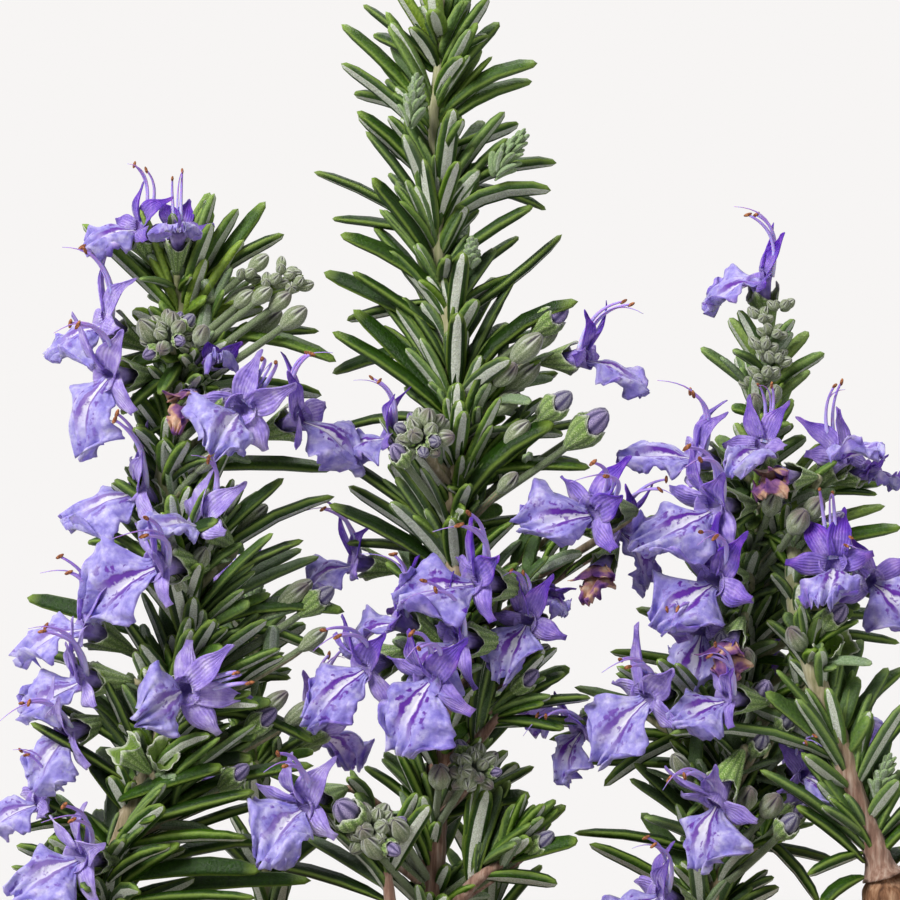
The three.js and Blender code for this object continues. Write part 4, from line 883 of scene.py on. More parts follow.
# The end buds, by shoot, those of young side shoots too: [foot x, y, z, end x, y, z].
SHOOT_TIPS = {
    "centre": [
        [-6, -5, 278.5, -4.5, -6, 287.5], [6.5, -4, 271, 12, -4, 279], [3, -2, 257.5, 3.5, -4, 263],
        [-1, 0, 303, -1, 0, 309],
    ],
    "left": [[-40.5, -4, 254, -40.5, -5, 262]],
    "right": [[47.5, 5, 234, 48, 5, 244]],
    "cut": [[63.5, -8, 178, 66, -9, 186], [51.5, -4, 214, 51.5, -5, 222]],
    "low_left": [[-58, -20, 151, -60, -21, 158]],
    "low_right": [[52, -28, 151, 53, -29, 158]],
    "front_left": [[-28, -38, 146, -29, -39, 153]],
    "front_right": [[14, -41, 146, 14.5, -42, 153]],
    "back_left": [[-31, 31, 205, -31, 30.5, 212]],
    "back_mid": [[0, 26, 207, -0.5, 25.5, 214]],
    "back_right": [[50, 29, 211, 51, 28.5, 218]],
}
# How far below a shoot's tip its leaves are young, and how much down the young ones keep.
YOUNG_LENGTH = 60
DOWNY_SHOOTS = {"right": 0.3, "cut": 0.25}
# Crowded short growth: pairs of leaves as above, along the stems where they are densest.
DENSE_PAIRS = {
    "cut": [[192, 215, 2.6, 9.5, 42, 15], [170, 186, 5, 14, 52, 60]],
    "left": [[130, 176, 2.6, 17, 64, 10], [176, 252, 4.4, 14, 60, 35]],
    "centre": [[196, 300, 4.6, 14.5, 52, 25]],
    "right": [[160, 238, 4.2, 13.5, 60, 15]],
    "low_left": [[122, 151, 3, 15, 60, 0]],
    "low_right": [[122, 151, 3.6, 14, 60, 0]],
}
# Single leaves of the short side growth: [base x, y, z, tip x, y, z, width].
SIDE_GROWTH = {
    "centre": [
        [-2.1, -1, 268.8, -14, -5, 281.2, 3.1], [-2.5, -1, 258.7, -11.7, -8, 271, 3],
        [-2, -1, 248.5, -14.7, -4, 257.2, 3], [-2.4, 0, 280, -14.7, 6, 284.8, 3],
        [-1.8, 0, 262.8, -18, 6, 265.8, 2.8], [-2.4, 0, 287.5, -11.7, 5, 293.8, 2.9],
        [-1.4, 1, 253, -15.8, 7, 250.3, 2.9], [-1.4, 0, 246.2, -18, 6, 242.2, 2.8],
        [-0.3, 0, 235, -17.2, 5, 233.5, 2.9], [1.5, -3, 221.5, 15.5, -9, 234.4, 4.2],
        [1.8, -2, 226.3, 21, -5, 227.8, 3.1], [0.3, 1, 238, 16.5, 4, 242.2, 3], [0.8, 1, 232, 21, 6, 235, 3],
        [0, 1, 244, 14.2, 6, 248.5, 2.9], [-1.5, 1, 269.5, 14.7, 7, 267.2, 2.8],
        [-1.5, 1, 275.5, 10.5, 6, 280.3, 2.9], [0.8, 0, 218.5, 16.5, 6, 220, 3],
        [0.8, 0, 214, -15.8, 6, 216.2, 3],
    ],
    "left": [
        [-40.5, -3, 253, -24.8, -5, 262.8, 3.2], [-40.5, -2, 247, -19.8, 2, 248.5, 3.1],
        [-39.8, -1, 241, -19.5, 4, 238.8, 3.1], [-39.6, 1, 248.5, -22.5, 6, 255.2, 3],
        [-39.9, 0, 235, -22.5, 6, 232, 3.1], [-39.6, 0, 227.5, -18, 5, 227.5, 3.1],
        [-40.8, -2, 245.5, -53.7, -2, 242.2, 2.9], [-40.5, -2, 253, -54.9, -3, 263.8, 3.1],
        [-43.5, 2, 214, -55.5, 8, 216.2, 2.9], [-49.8, -6, 178, -33.6, -12, 183.7, 3.1],
        [-49.8, -6, 173.5, -28.8, -13, 180.1, 3.2], [-50.1, -6, 170.5, -30, -10, 172.8, 3.1],
        [-50.4, -6, 166, -28.2, -8, 167.8, 3.1], [-50.7, -6, 162.2, -28.8, -11, 164.1, 3.1],
        [-51, -8, 166, -41.1, -16, 172.3, 3.2], [-50.7, -6, 158.5, -30.8, -9, 161.2, 3],
        [-49.8, -3, 169, -24, 2, 178, 3.1], [-50.1, -3, 164.5, -22.5, 3, 170.5, 3],
        [-50.4, -3, 163, -21, 2, 165.2, 3], [-51, -6, 166, -64.5, -9, 171.7, 3],
        [-51.3, -6, 161.5, -65.2, -8, 166, 3], [-50.7, -5, 170.5, -61.5, -3, 178, 3],
        [-45, 0, 202, -64.5, 5, 208, 2.9], [-48, 0, 193, -65.2, 6, 199.8, 2.9],
    ],
    "cut": [
        [61.8, -9, 169, 51, -14, 178, 3], [61.5, -9, 170.5, 52.8, -13, 167.8, 3],
        [62.4, -7, 168.2, 68.2, -3, 182.5, 3], [62.7, -7, 167.8, 69.3, -10, 175.8, 2.9],
        [59.2, -8, 179.5, 68.2, -4, 190, 3], [61.5, -10, 167.2, 54.8, -13, 163.3, 3],
        [63, -5, 166, 68.2, -2, 170.5, 2.9], [57.8, -7, 187, 68.2, -4, 197.8, 3],
    ],
    "right": [
        [50.2, 2, 214, 68.2, 0, 218.8, 3.1], [49.5, 2, 209.5, 68.2, 4, 212.2, 3.1],
        [49.2, 2, 205, 67.5, 6, 205.3, 3.1], [48.8, 3, 202, 68.2, 2, 201.2, 3.1],
        [48.8, 2, 220, 66, 6, 225.2, 3], [48, 4, 193, 24.3, 4, 199.8, 3], [47.2, 4, 187, 22.8, 8, 190, 3],
        [44.7, 4, 181, 21, 10, 182.5, 3], [44.2, 3, 173.5, 55.5, -2, 162.2, 3],
        [43.5, 3, 170.5, 58.8, 4, 167.8, 3], [44.2, 3, 178, 60, 9, 179.2, 3], [48, 3, 199, 28.5, 9, 206.2, 3],
        [48.3, 4, 214, 30, 10, 220, 3],
    ],
}
# The shoots in flower are the leafiest, up to this height.
FULL_SHOOTS = ("centre", "left", "right")
FULL_TO = 236
# The end of the right shoot is all buds: no axil leaves above the first height, and none on the flower
# stalks above the second.
BARE_FROM = {"right": (238, 245)}


def jitter(chance, amount):
    """A small random step."""
    return Vector([chance.gauss(0, amount) for axis in range(3)])


for name in SHOOTS:
    chance = random.Random(f"leaves of {name}")
    point_at = SHOOT_CURVES[name]
    top = point_at(1).z
    bare_axils, bare_stalks = BARE_FROM.get(name, (math.inf, math.inf))
    grown = []
    for base, tip, bend in leaves_of(name):
        young = clamp(1 - (top - base.z) / YOUNG_LENGTH)
        tint = clamp(0.3 + (0.65 if name == "right" else 0.35) * young + chance.gauss(0, 0.16))
        hoary = DOWNY_SHOOTS.get(name, 0.06) * young ** 0.5 * chance.uniform(0.6, 1)
        wide, roll = LEAF_WIDTH * chance.uniform(1.0, 1.2), chance.gauss(0, 0.45)
        grown.append((base, tip, bend, wide, roll, tint, hoary))
        # The young leaves of the axil: shorter, steeper and greener than the leaf that they stand in.
        if base.z > bare_axils:
            continue
        share = at_height(point_at, base.z + 1)
        along = direction_of(point_at, share)
        crowded = base.z < FULL_TO and name in FULL_SHOOTS
        for small in range(chance.choice((4, 5, 5, 6) if crowded else (3, 3, 4, 4))):
            way = (tip - base).normalized()
            way.rotate(Quaternion(along, chance.gauss(0, 0.5)))
            way = (way + along * chance.uniform(0.15 if crowded else 0.35, 1.0)).normalized()
            reach = (tip - base).length * chance.uniform(0.45, 1.0 if crowded else 0.9)
            foot = base + along * chance.uniform(0.5, 2.5)
            grown.append((foot, foot + way * reach, 0.04, LEAF_WIDTH * chance.uniform(0.7, 1.1),
                          chance.gauss(0, 0.6), min(tint + 0.2, 1), max(hoary, chance.uniform(0, 0.2))))
    for base, tip, bend in paired_leaves(name, DENSE_PAIRS):
        tip = base + (tip - base) * chance.uniform(0.7, 1.05) + jitter(chance, 1.1)
        grown.append((base, tip, chance.gauss(0.05, 0.03), LEAF_WIDTH * chance.uniform(0.8, 1.1),
                      chance.gauss(0, 0.6), chance.uniform(0.2, 0.9),
                      DOWNY_SHOOTS.get(name, 0.1) * chance.uniform(0, 1)))
    for *ends, width in SIDE_GROWTH.get(name, []):
        grown.append((Vector(ends[:3]), Vector(ends[3:]), chance.gauss(0.05, 0.03), width,
                      chance.gauss(0, 0.5), chance.uniform(0.2, 0.6)))
    # The stalks carry short leaves too, which hide them: dull green, with some of their down left.
    seats = [tube.translation for tube in tubes_on(name)]
    seats += [nub_axis(name, Vector(nub[:3]), nub[4])[0] for nub in NUBS.get(name, [])]
    for seat in seats:
        root = stalk_root(name, seat)
        outwards = seat - root
        if seat.z > bare_stalks:
            continue
        for leaf in range(chance.choice((4, 5, 6))):
            foot = root + outwards * chance.uniform(0.1, 0.8)
            way = outwards.normalized() + jitter(chance, 0.62) + Vector((0, 0, 0.25))
            grown.append((foot, foot + way.normalized() * chance.uniform(5, 11), 0.06,
                          LEAF_WIDTH * chance.uniform(0.6, 0.95), chance.gauss(0, 0.6),
                          chance.uniform(0.35, 0.8), chance.choice((0, 0.1, 0.2, 0.6))))
    for ends in SHOOT_TIPS.get(name, []):
        foot, end = Vector(ends[:3]), Vector(ends[3:])
        grown += shoot_tip(foot, (end - foot).normalized(), (end - foot).length, chance, 0.75)
    mesh, marks = start_shape("number", "felt", "rim", "reach", "tint", "down")
    draw_leaves(mesh, marks, grown)
    leaves = make_piece(mesh, f"leaves_{name}", leaf_skin)
    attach(leaves, "root")
    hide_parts(f"shoot_{name}")


# The flowers: a felted green calyx, and from it a thin lilac corolla with two upright lobes, two side
# lobes and a broad hanging lip, frilled and streaked. Two stamens and the style arch over the lip.

# Petal: a thin wet-looking skin that light passes into; lilac blue, deeper along its veins and rims,
# violet on the upright lobes, with a white stripe and violet blots down the lip.
petal_skin, tree, shader = new_finish("thin_lilac_petal")
where = add_node(tree, "TexCoord").outputs["Object"]
across, along, vivid, lip = [add_node(tree, "Attribute", attribute_name=mark).outputs["Fac"]
                             for mark in ("across", "along", "vivid", "lip")]
cloud = add_node(tree, "TexNoise", {"Vector": where, "Scale": 520.0, "Detail": 4.0, "Roughness": 0.6})
lilac = add_node(tree, "ValToRGB", {0: cloud}, stops=((0.3, "#7d73c6"), (0.5, "#9f97d8"), (0.7, "#cbc6ea")))
# The tube and the upper lobes are pinker than the lip.
rosy = add_node(tree, "ValToRGB", {0: cloud}, stops=((0.3, "#8a74c8"), (0.5, "#ab98de"), (0.7, "#d2c8f0")))
pale = add_node(tree, "Mix", {0: lip, 6: rosy, 7: lilac}, data_type="RGBA")
violet = add_node(tree, "ValToRGB", {0: cloud}, stops=((0.3, "#35108a"), (0.5, "#5a22b0"), (0.75, "#9458d2")))
stray = add_node(tree, "Math", {0: cloud, 1: 7.0}, operation="MULTIPLY")
vein_way = add_node(tree, "Math", {0: across, 1: 24.0, 2: stray}, operation="MULTIPLY_ADD")
vein = add_node(tree, "Math", {0: vein_way}, operation="SINE")
dark_line_share = add_node(tree, "MapRange", {0: vein, 1: 0.2, 2: 1.0, 3: 0.0, 4: 0.14})
vivid_share = add_node(tree, "Math", {0: vivid, 1: dark_line_share}, operation="ADD", use_clamp=True)
washed = add_node(tree, "Mix", {0: vivid_share, 6: pale, 7: violet}, data_type="RGBA")
# The lip's marks: a white stripe from the throat down its middle, a violet line along each side of it,
# a broken line further out, and small violet dots between them. They waver with the folds of the lip.
waver = add_node(tree, "Math", {0: cloud, 1: 0.3, 2: -0.15}, operation="MULTIPLY_ADD")
wavy = add_node(tree, "Math", {0: across, 1: waver}, operation="ADD")
off_middle = add_node(tree, "Math", {0: wavy}, operation="ABSOLUTE")
blots = add_node(tree, "TexNoise", {"Vector": where, "Scale": 900.0, "Detail": 2.0})


def fade(source, start, end):
    """1 up to start, falling to 0 at end."""
    return add_node(tree, "MapRange", {0: source, 1: start, 2: end, 3: 1.0, 4: 0.0})


def times(first, second):
    """One mark where both are."""
    return add_node(tree, "Math", {0: first, 1: second}, operation="MULTIPLY")


def line_at(place, half_width):
    """A line down the lip on both sides of its middle."""
    off = add_node(tree, "Math", {0: off_middle, 1: place}, operation="SUBTRACT")
    distance = add_node(tree, "Math", {0: off}, operation="ABSOLUTE")
    return fade(distance, half_width * 0.5, half_width)


stripe_on = times(times(fade(off_middle, 0.1, 0.3), fade(along, 0.35, 0.8)), lip)
inner = times(line_at(0.2, 0.1), fade(along, 0.5, 0.8))
outer = times(times(line_at(0.42, 0.1), fade(along, 0.45, 0.75)), fade(blots, 0.57, 0.5))
dotted = times(fade(off_middle, 0.4, 0.62), add_node(tree, "MapRange",
    {0: blots, 1: 0.6, 2: 0.66, 3: 0.0, 4: 0.8}))
lined = add_node(tree, "Math", {0: inner, 1: outer}, operation="MAXIMUM")
blot_on = times(add_node(tree, "Math", {0: lined, 1: dotted}, operation="MAXIMUM"), lip)
# Pale flowers are faintly marked.
blot_on = times(blot_on, add_node(tree, "MapRange", {0: vivid, 1: 0.0, 2: 0.04, 3: 0.55, 4: 1.0}))
striped = add_node(tree, "Mix", {0: stripe_on, 6: washed, 7: "#dcd6ea"}, data_type="RGBA")
blotted = add_node(tree, "Mix", {0: blot_on, 6: striped, 7: "#5a1f94"}, data_type="RGBA")
wrinkle = add_node(tree, "TexNoise", {"Vector": where, "Scale": 900.0, "Detail": 4.0},
    noise_type="RIDGED_MULTIFRACTAL")
relief = add_node(tree, "Math", {0: vein, 1: 0.16, 2: wrinkle}, operation="MULTIPLY_ADD")
bump = add_node(tree, "Bump", {"Height": relief, "Strength": 0.8, "Distance": 0.0003})
connect(tree, shader, {"Base Color": blotted, "Normal": bump, "Roughness": 0.55, "Specular IOR Level": 0.35,
    "Subsurface Weight": 0.3, "Subsurface Scale": 0.001, "Subsurface Radius": (0.7, 0.5, 1.0),
    "Sheen Weight": 0.15})

# Calyx: a green bell with ten ribs, frosted with short white hairs and pale along the edge of its teeth; its
# furrows are darkened as painted shade.
calyx_skin, tree, shader = new_finish("felted_green_calyx")
where = add_node(tree, "TexCoord").outputs["Object"]
along, vivid, rib, inside = [add_node(tree, "Attribute", attribute_name=mark).outputs["Fac"]
                             for mark in ("along", "vivid", "across", "lip")]
frost = add_node(tree, "TexVoronoi", {"Vector": where, "Scale": 4200.0})
green = add_node(tree, "ValToRGB", {0: frost.outputs["Distance"]},
    stops=((0.1, "#d6dfb6"), (0.3, "#a2bb68"), (0.7, "#6f9438")))
# Painted shade: the green is darkened in the furrows between the ribs.
furrow_shade = add_node(tree, "MapRange", {0: rib, 1: -0.9, 2: 0.4, 3: 0.75, 4: 0.0})
furrow_shaded = add_node(tree, "Mix", {0: furrow_shade, 6: green, 7: "#4b6a29"}, data_type="RGBA")
lined = add_node(tree, "Mix", {0: inside, 6: furrow_shaded, 7: "#7f9f38"}, data_type="RGBA")
edge = add_node(tree, "MapRange", {0: along, 1: 0.72, 2: 1.0, 3: 0.0, 4: 0.85})
edged = add_node(tree, "Mix", {0: edge, 6: lined, 7: "#dfe2cf"}, data_type="RGBA")
blush = add_node(tree, "Mix", {0: vivid, 6: edged, 7: "#6d5a66"}, data_type="RGBA")
bump = add_node(tree, "Bump", {"Height": frost.outputs["Distance"], "Strength": 0.7, "Distance": 0.0002},
    invert=True)
connect(tree, shader, {"Base Color": blush, "Normal": bump, "Roughness": 0.85, "Specular IOR Level": 0.3,
    "Sheen Weight": 0.3})

# Filament: a smooth watery lilac thread, paler than the petals. Light passes into it.
filament_skin, tree, shader = new_finish("pale_lilac_filament")
along = add_node(tree, "Attribute", attribute_name="along").outputs["Fac"]
thread = add_node(tree, "ValToRGB", {0: along}, stops=((0.0, "#d9d2f4"), (0.6, "#b7a6ea"), (1.0, "#9f7fd8")))
connect(tree, shader, {"Base Color": thread, "Roughness": 0.45, "Subsurface Weight": 0.3,
    "Subsurface Scale": 0.0008})

# Anther: two dry brown pollen sacs.
anther_skin, tree, shader = new_finish("dry_brown_anther")
where = add_node(tree, "TexCoord").outputs["Object"]
dust = add_node(tree, "TexNoise", {"Vector": where, "Scale": 3000.0})
sac = add_node(tree, "ValToRGB", {0: dust}, stops=((0.4, "#6b3a22"), (0.65, "#b9774a")))
connect(tree, shader, {"Base Color": sac, "Roughness": 0.9})


def spine(start, first, turn, length):
    """A curve in the upright plane that sets off at an angle and turns steadily, in degrees."""
    begin, bend = math.radians(first), math.radians(turn) or 1e-6

    def point_at(share):
        angle = begin + bend * share
        ahead = length * (math.sin(angle) - math.sin(begin)) / bend
        rise = length * (math.cos(begin) - math.cos(angle)) / bend
        return start + Vector((ahead, 0, rise)), Vector((-math.sin(angle), 0, math.cos(angle)))
    return point_at


def draw_petal(mesh, marks, rows, columns, place, vivid, lip=0.0):
    """A thin sheet of petal. place gives its point for a share along and -1 to 1 across."""
    made = bmesh.ops.create_grid(mesh, x_segments=rows, y_segments=columns, size=1)["verts"]
    for vert in made:
        along, across = (vert.co.x + 1) / 2, vert.co.y
        vert.co = place(along, across)
        vert[marks["along"]] = along
        vert[marks["across"]] = across
        vert[marks["vivid"]] = vivid(along, across)
        vert[marks["lip"]] = lip
    faces = list(dict.fromkeys(face for vert in made for face in vert.link_faces))
    bmesh.ops.recalc_face_normals(mesh, faces=faces)
    thick = bmesh.ops.solidify(mesh, geom=faces, thickness=0.13)["geom"]
    made = list(set(made) | {item for item in thick if isinstance(item, bmesh.types.BMVert)})
    # A sharp fold would push its corner far off the sheet.
    for vert in made:
        home = place(vert[marks["along"]], vert[marks["across"]])
        off = vert.co - home
        if off.length > 0.2:
            vert.co = home + off * (0.2 / off.length)
    return made


RIBS = 10


def draw_bell(mesh, marks, stations, sides, tooth, vivid, inner=99):
    """A hollow bell round +X. stations are [x, radius, share of the tooth], out along it and back in
    from the one numbered inner."""
    last = len(stations) + 1
    made = bmesh.ops.create_uvsphere(mesh, u_segments=sides, v_segments=last, radius=1)["verts"]
    for vert in made:
        ring, turn = ring_and_turn(vert, last)
        x, radius, teeth = stations[min(max(ring - 1, 0), last - 2)]
        if ring in (0, last):
            radius = 0
        x += teeth * tooth(turn)
        vert.co = Vector((x, radius * math.cos(turn), radius * math.sin(turn)))
        vert[marks["along"]] = teeth
        vert[marks["across"]] = math.cos(RIBS * turn)
        vert[marks["vivid"]] = vivid
        vert[marks["lip"]] = 1 if ring > inner else 0
    return made


def calyx_tooth(turn):
    """Three pointed teeth: one above and two below."""
    return 2.4 * (1 - abs(math.sin(1.5 * (turn - math.pi / 2)))) ** 0.75 - 0.7


def ramp(low, high, value):
    """A soft step from 0 to 1 as a value goes from low to high."""
    share = clamp((value - low) / (high - low))
    return share * share * (3 - 2 * share)


def draw_calyx(mesh, marks, vivid, shut=0.0):
    """A calyx along +X, 5.6 mm to its mouth. shut draws its teeth in over a bud."""
    mouth = 1 - 0.3 * shut
    throat = 1 - 0.1 * shut
    stations = [(0, 0.45, 0), (0.9, 0.85, 0), (2.3, 1.3, 0), (3.8, 1.8, 0.1), (5.0, 2.25 * throat, 0.5),
                (5.9, 2.65 * mouth, 1), (5.8, 2.5 * mouth, 1), (4.9, 2.08 * throat, 0.45),
                (3.7, 1.6, 0.05), (2.4, 1.0, 0), (2.2, 0.4, 0)]
    made = draw_bell(mesh, marks, stations, 30, lambda turn: calyx_tooth(turn) * (1 - 0.45 * shut), vivid, 6)
    for vert in made:
        turn = math.atan2(vert.co.z, vert.co.y)
        rib = 1 + 0.08 * math.cos(RIBS * turn)
        rib *= 1 + 0.55 * shut * math.sin(math.pi * min(max(vert.co.x, 0) / 6.5, 1))
        vert.co.y *= rib
        vert.co.z *= rib
    lay_finish(made, 1)
    return made


def draw_tube(mesh, marks, vivid):
    """The corolla's tube inside the calyx, widening to the throat."""
    stations = [(3.6, 0.9, 0), (5.6, 1.15, 0), (7.4, 1.6, 0), (8.9, 2.15, 0), (8.8, 2.0, 0), (7.4, 1.45, 0),
                (6.2, 0.6, 0)]
    tube = draw_bell(mesh, marks, stations, 14, lambda turn: 0, 0.1 + 0.25 * vivid)
    lay_finish(tube, 0)
    return tube


def draw_corolla(mesh, marks, chance, vivid, state="open"):
    """The petals, stamens and style of a flower whose mouth looks along +X from the origin.

    A shut flower holds its petals together ahead of it. A withered one has let them shrink and hang."""
    spread = {"open": 1.0, "shut": 0.42, "withered": 0.5}[state]
    ripple = [chance.uniform(0, 6.3) for wave in range(6)]
    cup = chance.uniform(-0.9, 0.7)
    first = chance.uniform(-30, 8) if state == "open" else chance.uniform(-5, 15)
    turn = chance.uniform(-72, -20) if state == "open" else chance.uniform(-50, -20)
    hang = spine(Vector((-0.7, 0, -0.9)), first, turn, chance.uniform(9.2, 11.4) * (0.45 + 0.55 * spread))
    fold = chance.uniform(0.74, 1.0) * (0.25 + 0.75 * spread)
    crumple = chance.uniform(1.4, 2.1) if state == "open" else 1.9
    uneven, sway = chance.uniform(-0.26, 0.26), chance.gauss(0, 1.2)

    def lip_place(along, across):
        notch = 0.1 * math.exp(-(across / 0.14) ** 2) * along ** 3
        frill = 0.03 * math.sin(11 * across + ripple[0]) * along ** 4
        frill += 0.02 * math.sin(25 * across + ripple[5]) * along ** 7
        middle, up = hang(along * (1 - 0.26 * abs(across) ** 2.2) - notch + frill)
        wide = (1.3 + 4.7 * ramp(0.0, 0.5, along)) * (1 - 0.55 * ramp(0.6, 1, along) ** 1.4) * fold
        wide *= (1 + 0.1 * math.sin(9 * along + ripple[3]) + 0.03 * math.sin(23 * along + ripple[4])
                 + uneven * across)
        dome = 1.2 * math.sin(math.pi * abs(across)) ** 0.9 * ramp(0.05, 0.4, along)
        dome *= 1 - 0.55 * ramp(0.6, 1, along)
        curl = cup * across * across * wide * 0.5
        wave = 0.6 * math.sin(6 * across + 3.2 * along + ripple[1]) * along * abs(across)
        wave += 0.55 * math.sin(15 * across + ripple[2]) * ramp(0.5, 1, along)
        wave += 0.55 * math.sin(12 * along + ripple[4]) * ramp(0.4, 1, abs(across)) * ramp(0.1, 0.4, along)
        edge = ramp(0.6, 1, abs(across))
        wave += 0.22 * math.sin(33 * along + 9 * across + ripple[5]) * edge * ramp(0.2, 0.5, along)
        aside = Vector((0, across * wide + sway * along * along, 0))
        return middle + up * (dome + curl + wave * crumple) + aside

    def lip_vivid(along, across):
        return vivid * (0.1 + 0.62 * ramp(0.5, 1, abs(across)) * ramp(0.3, 0.9, along))

    made = draw_petal(mesh, marks, 26, 26, lip_place, lip_vivid, 1.0)
    for side in (-1, 1):
        slope = side * chance.uniform(0.15, 0.5)
        if state == "open":
            lift = chance.uniform(60, 96), chance.uniform(5, 50)
        else:
            lift = chance.uniform(5, 35), 20
        rise = spine(Vector((-1.0, 0, 0.9)), *lift, chance.uniform(6.4, 8.4) * (0.3 + 0.7 * spread))

        def lobe_place(along, across, side=side, slope=slope, rise=rise):
            middle, up = rise(along * (1 - 0.1 * across * across))
            wide = 1.35 + 0.5 * math.sin(math.pi * min(along / 0.75, 1)) - 0.95 * ramp(0.45, 1, along)
            middle.y += side * 0.7 + 8 * math.sin(slope) * along ** 1.1
            middle -= up * (0.4 * across * across * wide + 0.3 * math.sin(5 * along + ripple[3]))
            return middle + Vector((-0.25 * side, math.cos(slope), -math.sin(slope))) * (across * wide)

        made += draw_petal(mesh, marks, 10, 6, lobe_place, lambda along, across: min(
            1, vivid * (0.5 + 0.7 * ramp(0.15, 0.8, along)) + 0.25 * abs(across) * vivid))
        reach = chance.uniform(5.0, 6.8) * (0.35 + 0.65 * spread)
        way = Vector((chance.uniform(0.05, 0.65) + 1.6 * (1 - spread), side, chance.uniform(-0.6, 0.45)))
        way.normalize()
        broad = way.cross(Vector((1, 0, 0.3 * side))).normalized()

        def side_place(along, across, side=side, reach=reach, way=way, broad=broad):
            wide = 1.3 + 0.5 * math.sin(math.pi * min(along / 0.8, 1)) - 0.8 * ramp(0.5, 1, along)
            point = Vector((-0.8, 1.1 * side, -0.3)) + way * (reach * along) + broad * (across * wide)
            wave = 0.25 * math.sin(6 * along + 2 * across + ripple[0])
            point.x += -0.3 * reach * along ** 2 + wave - 0.3 * across ** 2
            return point

        made += draw_petal(mesh, marks, 9, 6, side_place,
                           lambda along, across: min(1, vivid * (0.3 + 0.7 * along)))
    lay_finish(made, 0)
    if state != "open":
        return made
    for side in (-1, 0, 1):
        start = Vector((-1.8, 0.5 * side, 0.5))
        if side:
            bow = Vector((-1.2 + chance.uniform(-0.8, 0.8), 0.9 * side, 8.0))
            end = Vector((3.2 + chance.uniform(-1, 1.5), 0.9 * side, 9.8 + chance.uniform(-1, 0.8)))
        else:
            bow = Vector((-0.6 + chance.uniform(-1, 1), 0, 11.2))
            end = Vector((6.6 + chance.uniform(-1.2, 1.2), chance.uniform(-1, 1),
                          9.4 + chance.uniform(-1.2, 0.8)))
        thick = 0.5 if side else 0.36
        thread = draw_rod(mesh, bent(start, bow, end), lambda share: thick - 0.32 * share ** 0.7, 6, 12)
        for vert in thread:
            vert[marks["along"]] = clamp((vert.co.z - 0.6) / 9.5)
            vert[marks["vivid"]] = vivid
        lay_finish(thread, 2)
        made += thread
        if side:
            sac = bmesh.ops.create_uvsphere(mesh, u_segments=7, v_segments=6, radius=0.34)["verts"]
            tilt = Matrix.Rotation(chance.uniform(0, 3), 4, "Y")
            long_sac = Matrix.Diagonal((2.1, 0.8, 0.8, 1))
            bmesh.ops.transform(mesh, verts=sac, matrix=Matrix.Translation(end) @ tilt @ long_sac)
            lay_finish(sac, 3)
            made += sac
    return made


def draw_flower(mesh, marks, place, rise, chance, vivid, state="open"):
    """A whole flower on its place: calyx, tube, petals and stamens."""
    lower = draw_calyx(mesh, marks, chance.uniform(0, 0.22))
    if state != "empty":
        lower += draw_tube(mesh, marks, vivid)
        upper = draw_corolla(mesh, marks, chance, vivid, state)
        if state == "withered":
            lay_finish(upper, 4)
        bmesh.ops.transform(mesh, verts=upper, matrix=place)
    bmesh.ops.transform(mesh, verts=lower, matrix=tube_place(place, rise))


def stand(base, way, size):
    """The move that stands a bud or a calyx, drawn along +X, on its foot."""
    side = way.orthogonal().normalized()
    axes = (way, side, way.cross(side))
    turn = Matrix([[axis[row] for axis in axes] for row in range(3)]).to_4x4()
    return Matrix.Translation(base) @ turn @ Matrix.Scale(size, 4)


# How violet each flower is, from 0, pale blue, to 1: by shoot, and the ones that stand out.
SHOOT_VIVID = {"left": 0.2, "centre": 0.72, "right": 0.55, "back_left": 0.4, "back_right": 0.45}
FLOWER_VIVID = {
    "left_top_a": 0.75, "left_top_b": 0.95, "left_side_b": 0.55, "left_mid_b": 0.35, "centre_foot": 0.25,
    "right_top": 1.0, "right_low_a": 0.3, "right_upper_a": 0.35, "right_upper_b": 0.55, "right_mid_a": 0.95,
    "right_mid_b": 0.9, "right_low_c": 0.35, "centre_mid_a": 0.75, "centre_low_d": 0.8, "centre_side_b": 0.8,
}

for on, flowers in FLOWERS.items():
    for spot, (*place, rise, size) in flowers.items():
        flower = f"{on}_{spot}"
        chance = random.Random(f"flower {flower}")
        mesh, marks = start_shape("along", "across", "vivid", "lip")
        vivid = clamp(FLOWER_VIVID.get(flower, SHOOT_VIVID[on]) + chance.gauss(0, 0.06))
        draw_flower(mesh, marks, flower_place(*place, size), rise, chance, vivid)
        blossom = make_piece(mesh, f"blossom_{flower}", petal_skin, calyx_skin, filament_skin, anther_skin)
        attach(blossom, "root")
        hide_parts(f"flower_{flower}")

# Withered petal: thin, dull and creased, magenta where it has kept its colour and tan where it has dried.
withered_skin, tree, shader = new_finish("withered_petal")
where = add_node(tree, "TexCoord").outputs["Object"]
patches = add_node(tree, "TexNoise", {"Vector": where, "Scale": 420.0, "Detail": 4.0})
dry = add_node(tree, "ValToRGB", {0: patches},
    stops=((0.36, "#54306f"), (0.48, "#8a5c86"), (0.56, "#b58a72"), (0.7, "#d8c0a8")))
bump = add_node(tree, "Bump", {"Height": patches, "Strength": 0.8, "Distance": 0.0003})
connect(tree, shader, {"Base Color": dry, "Normal": bump, "Roughness": 0.8, "Specular IOR Level": 0.2})

# More flowers of each shoot, some of them half open or withered, and calyxes that have shed theirs.
for name in [shoot for shoot in SHOOTS if shoot in BLOOMS]:
    chance = random.Random(f"more flowers of {name}")
    mesh, marks = start_shape("along", "across", "vivid", "lip")
    for *place, rise, size, state in BLOOMS[name]:
        vivid = SHOOT_VIVID.get(name, 0.5) if state == "open" else chance.uniform(0.8, 1)
        draw_flower(mesh, marks, flower_place(*place, size), rise, chance, vivid, state)
    more = make_piece(mesh, f"more_blossoms_{name}", petal_skin, calyx_skin, filament_skin, anther_skin,
                      withered_skin)
    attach(more, "root")
    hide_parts(f"shoot_{name}")
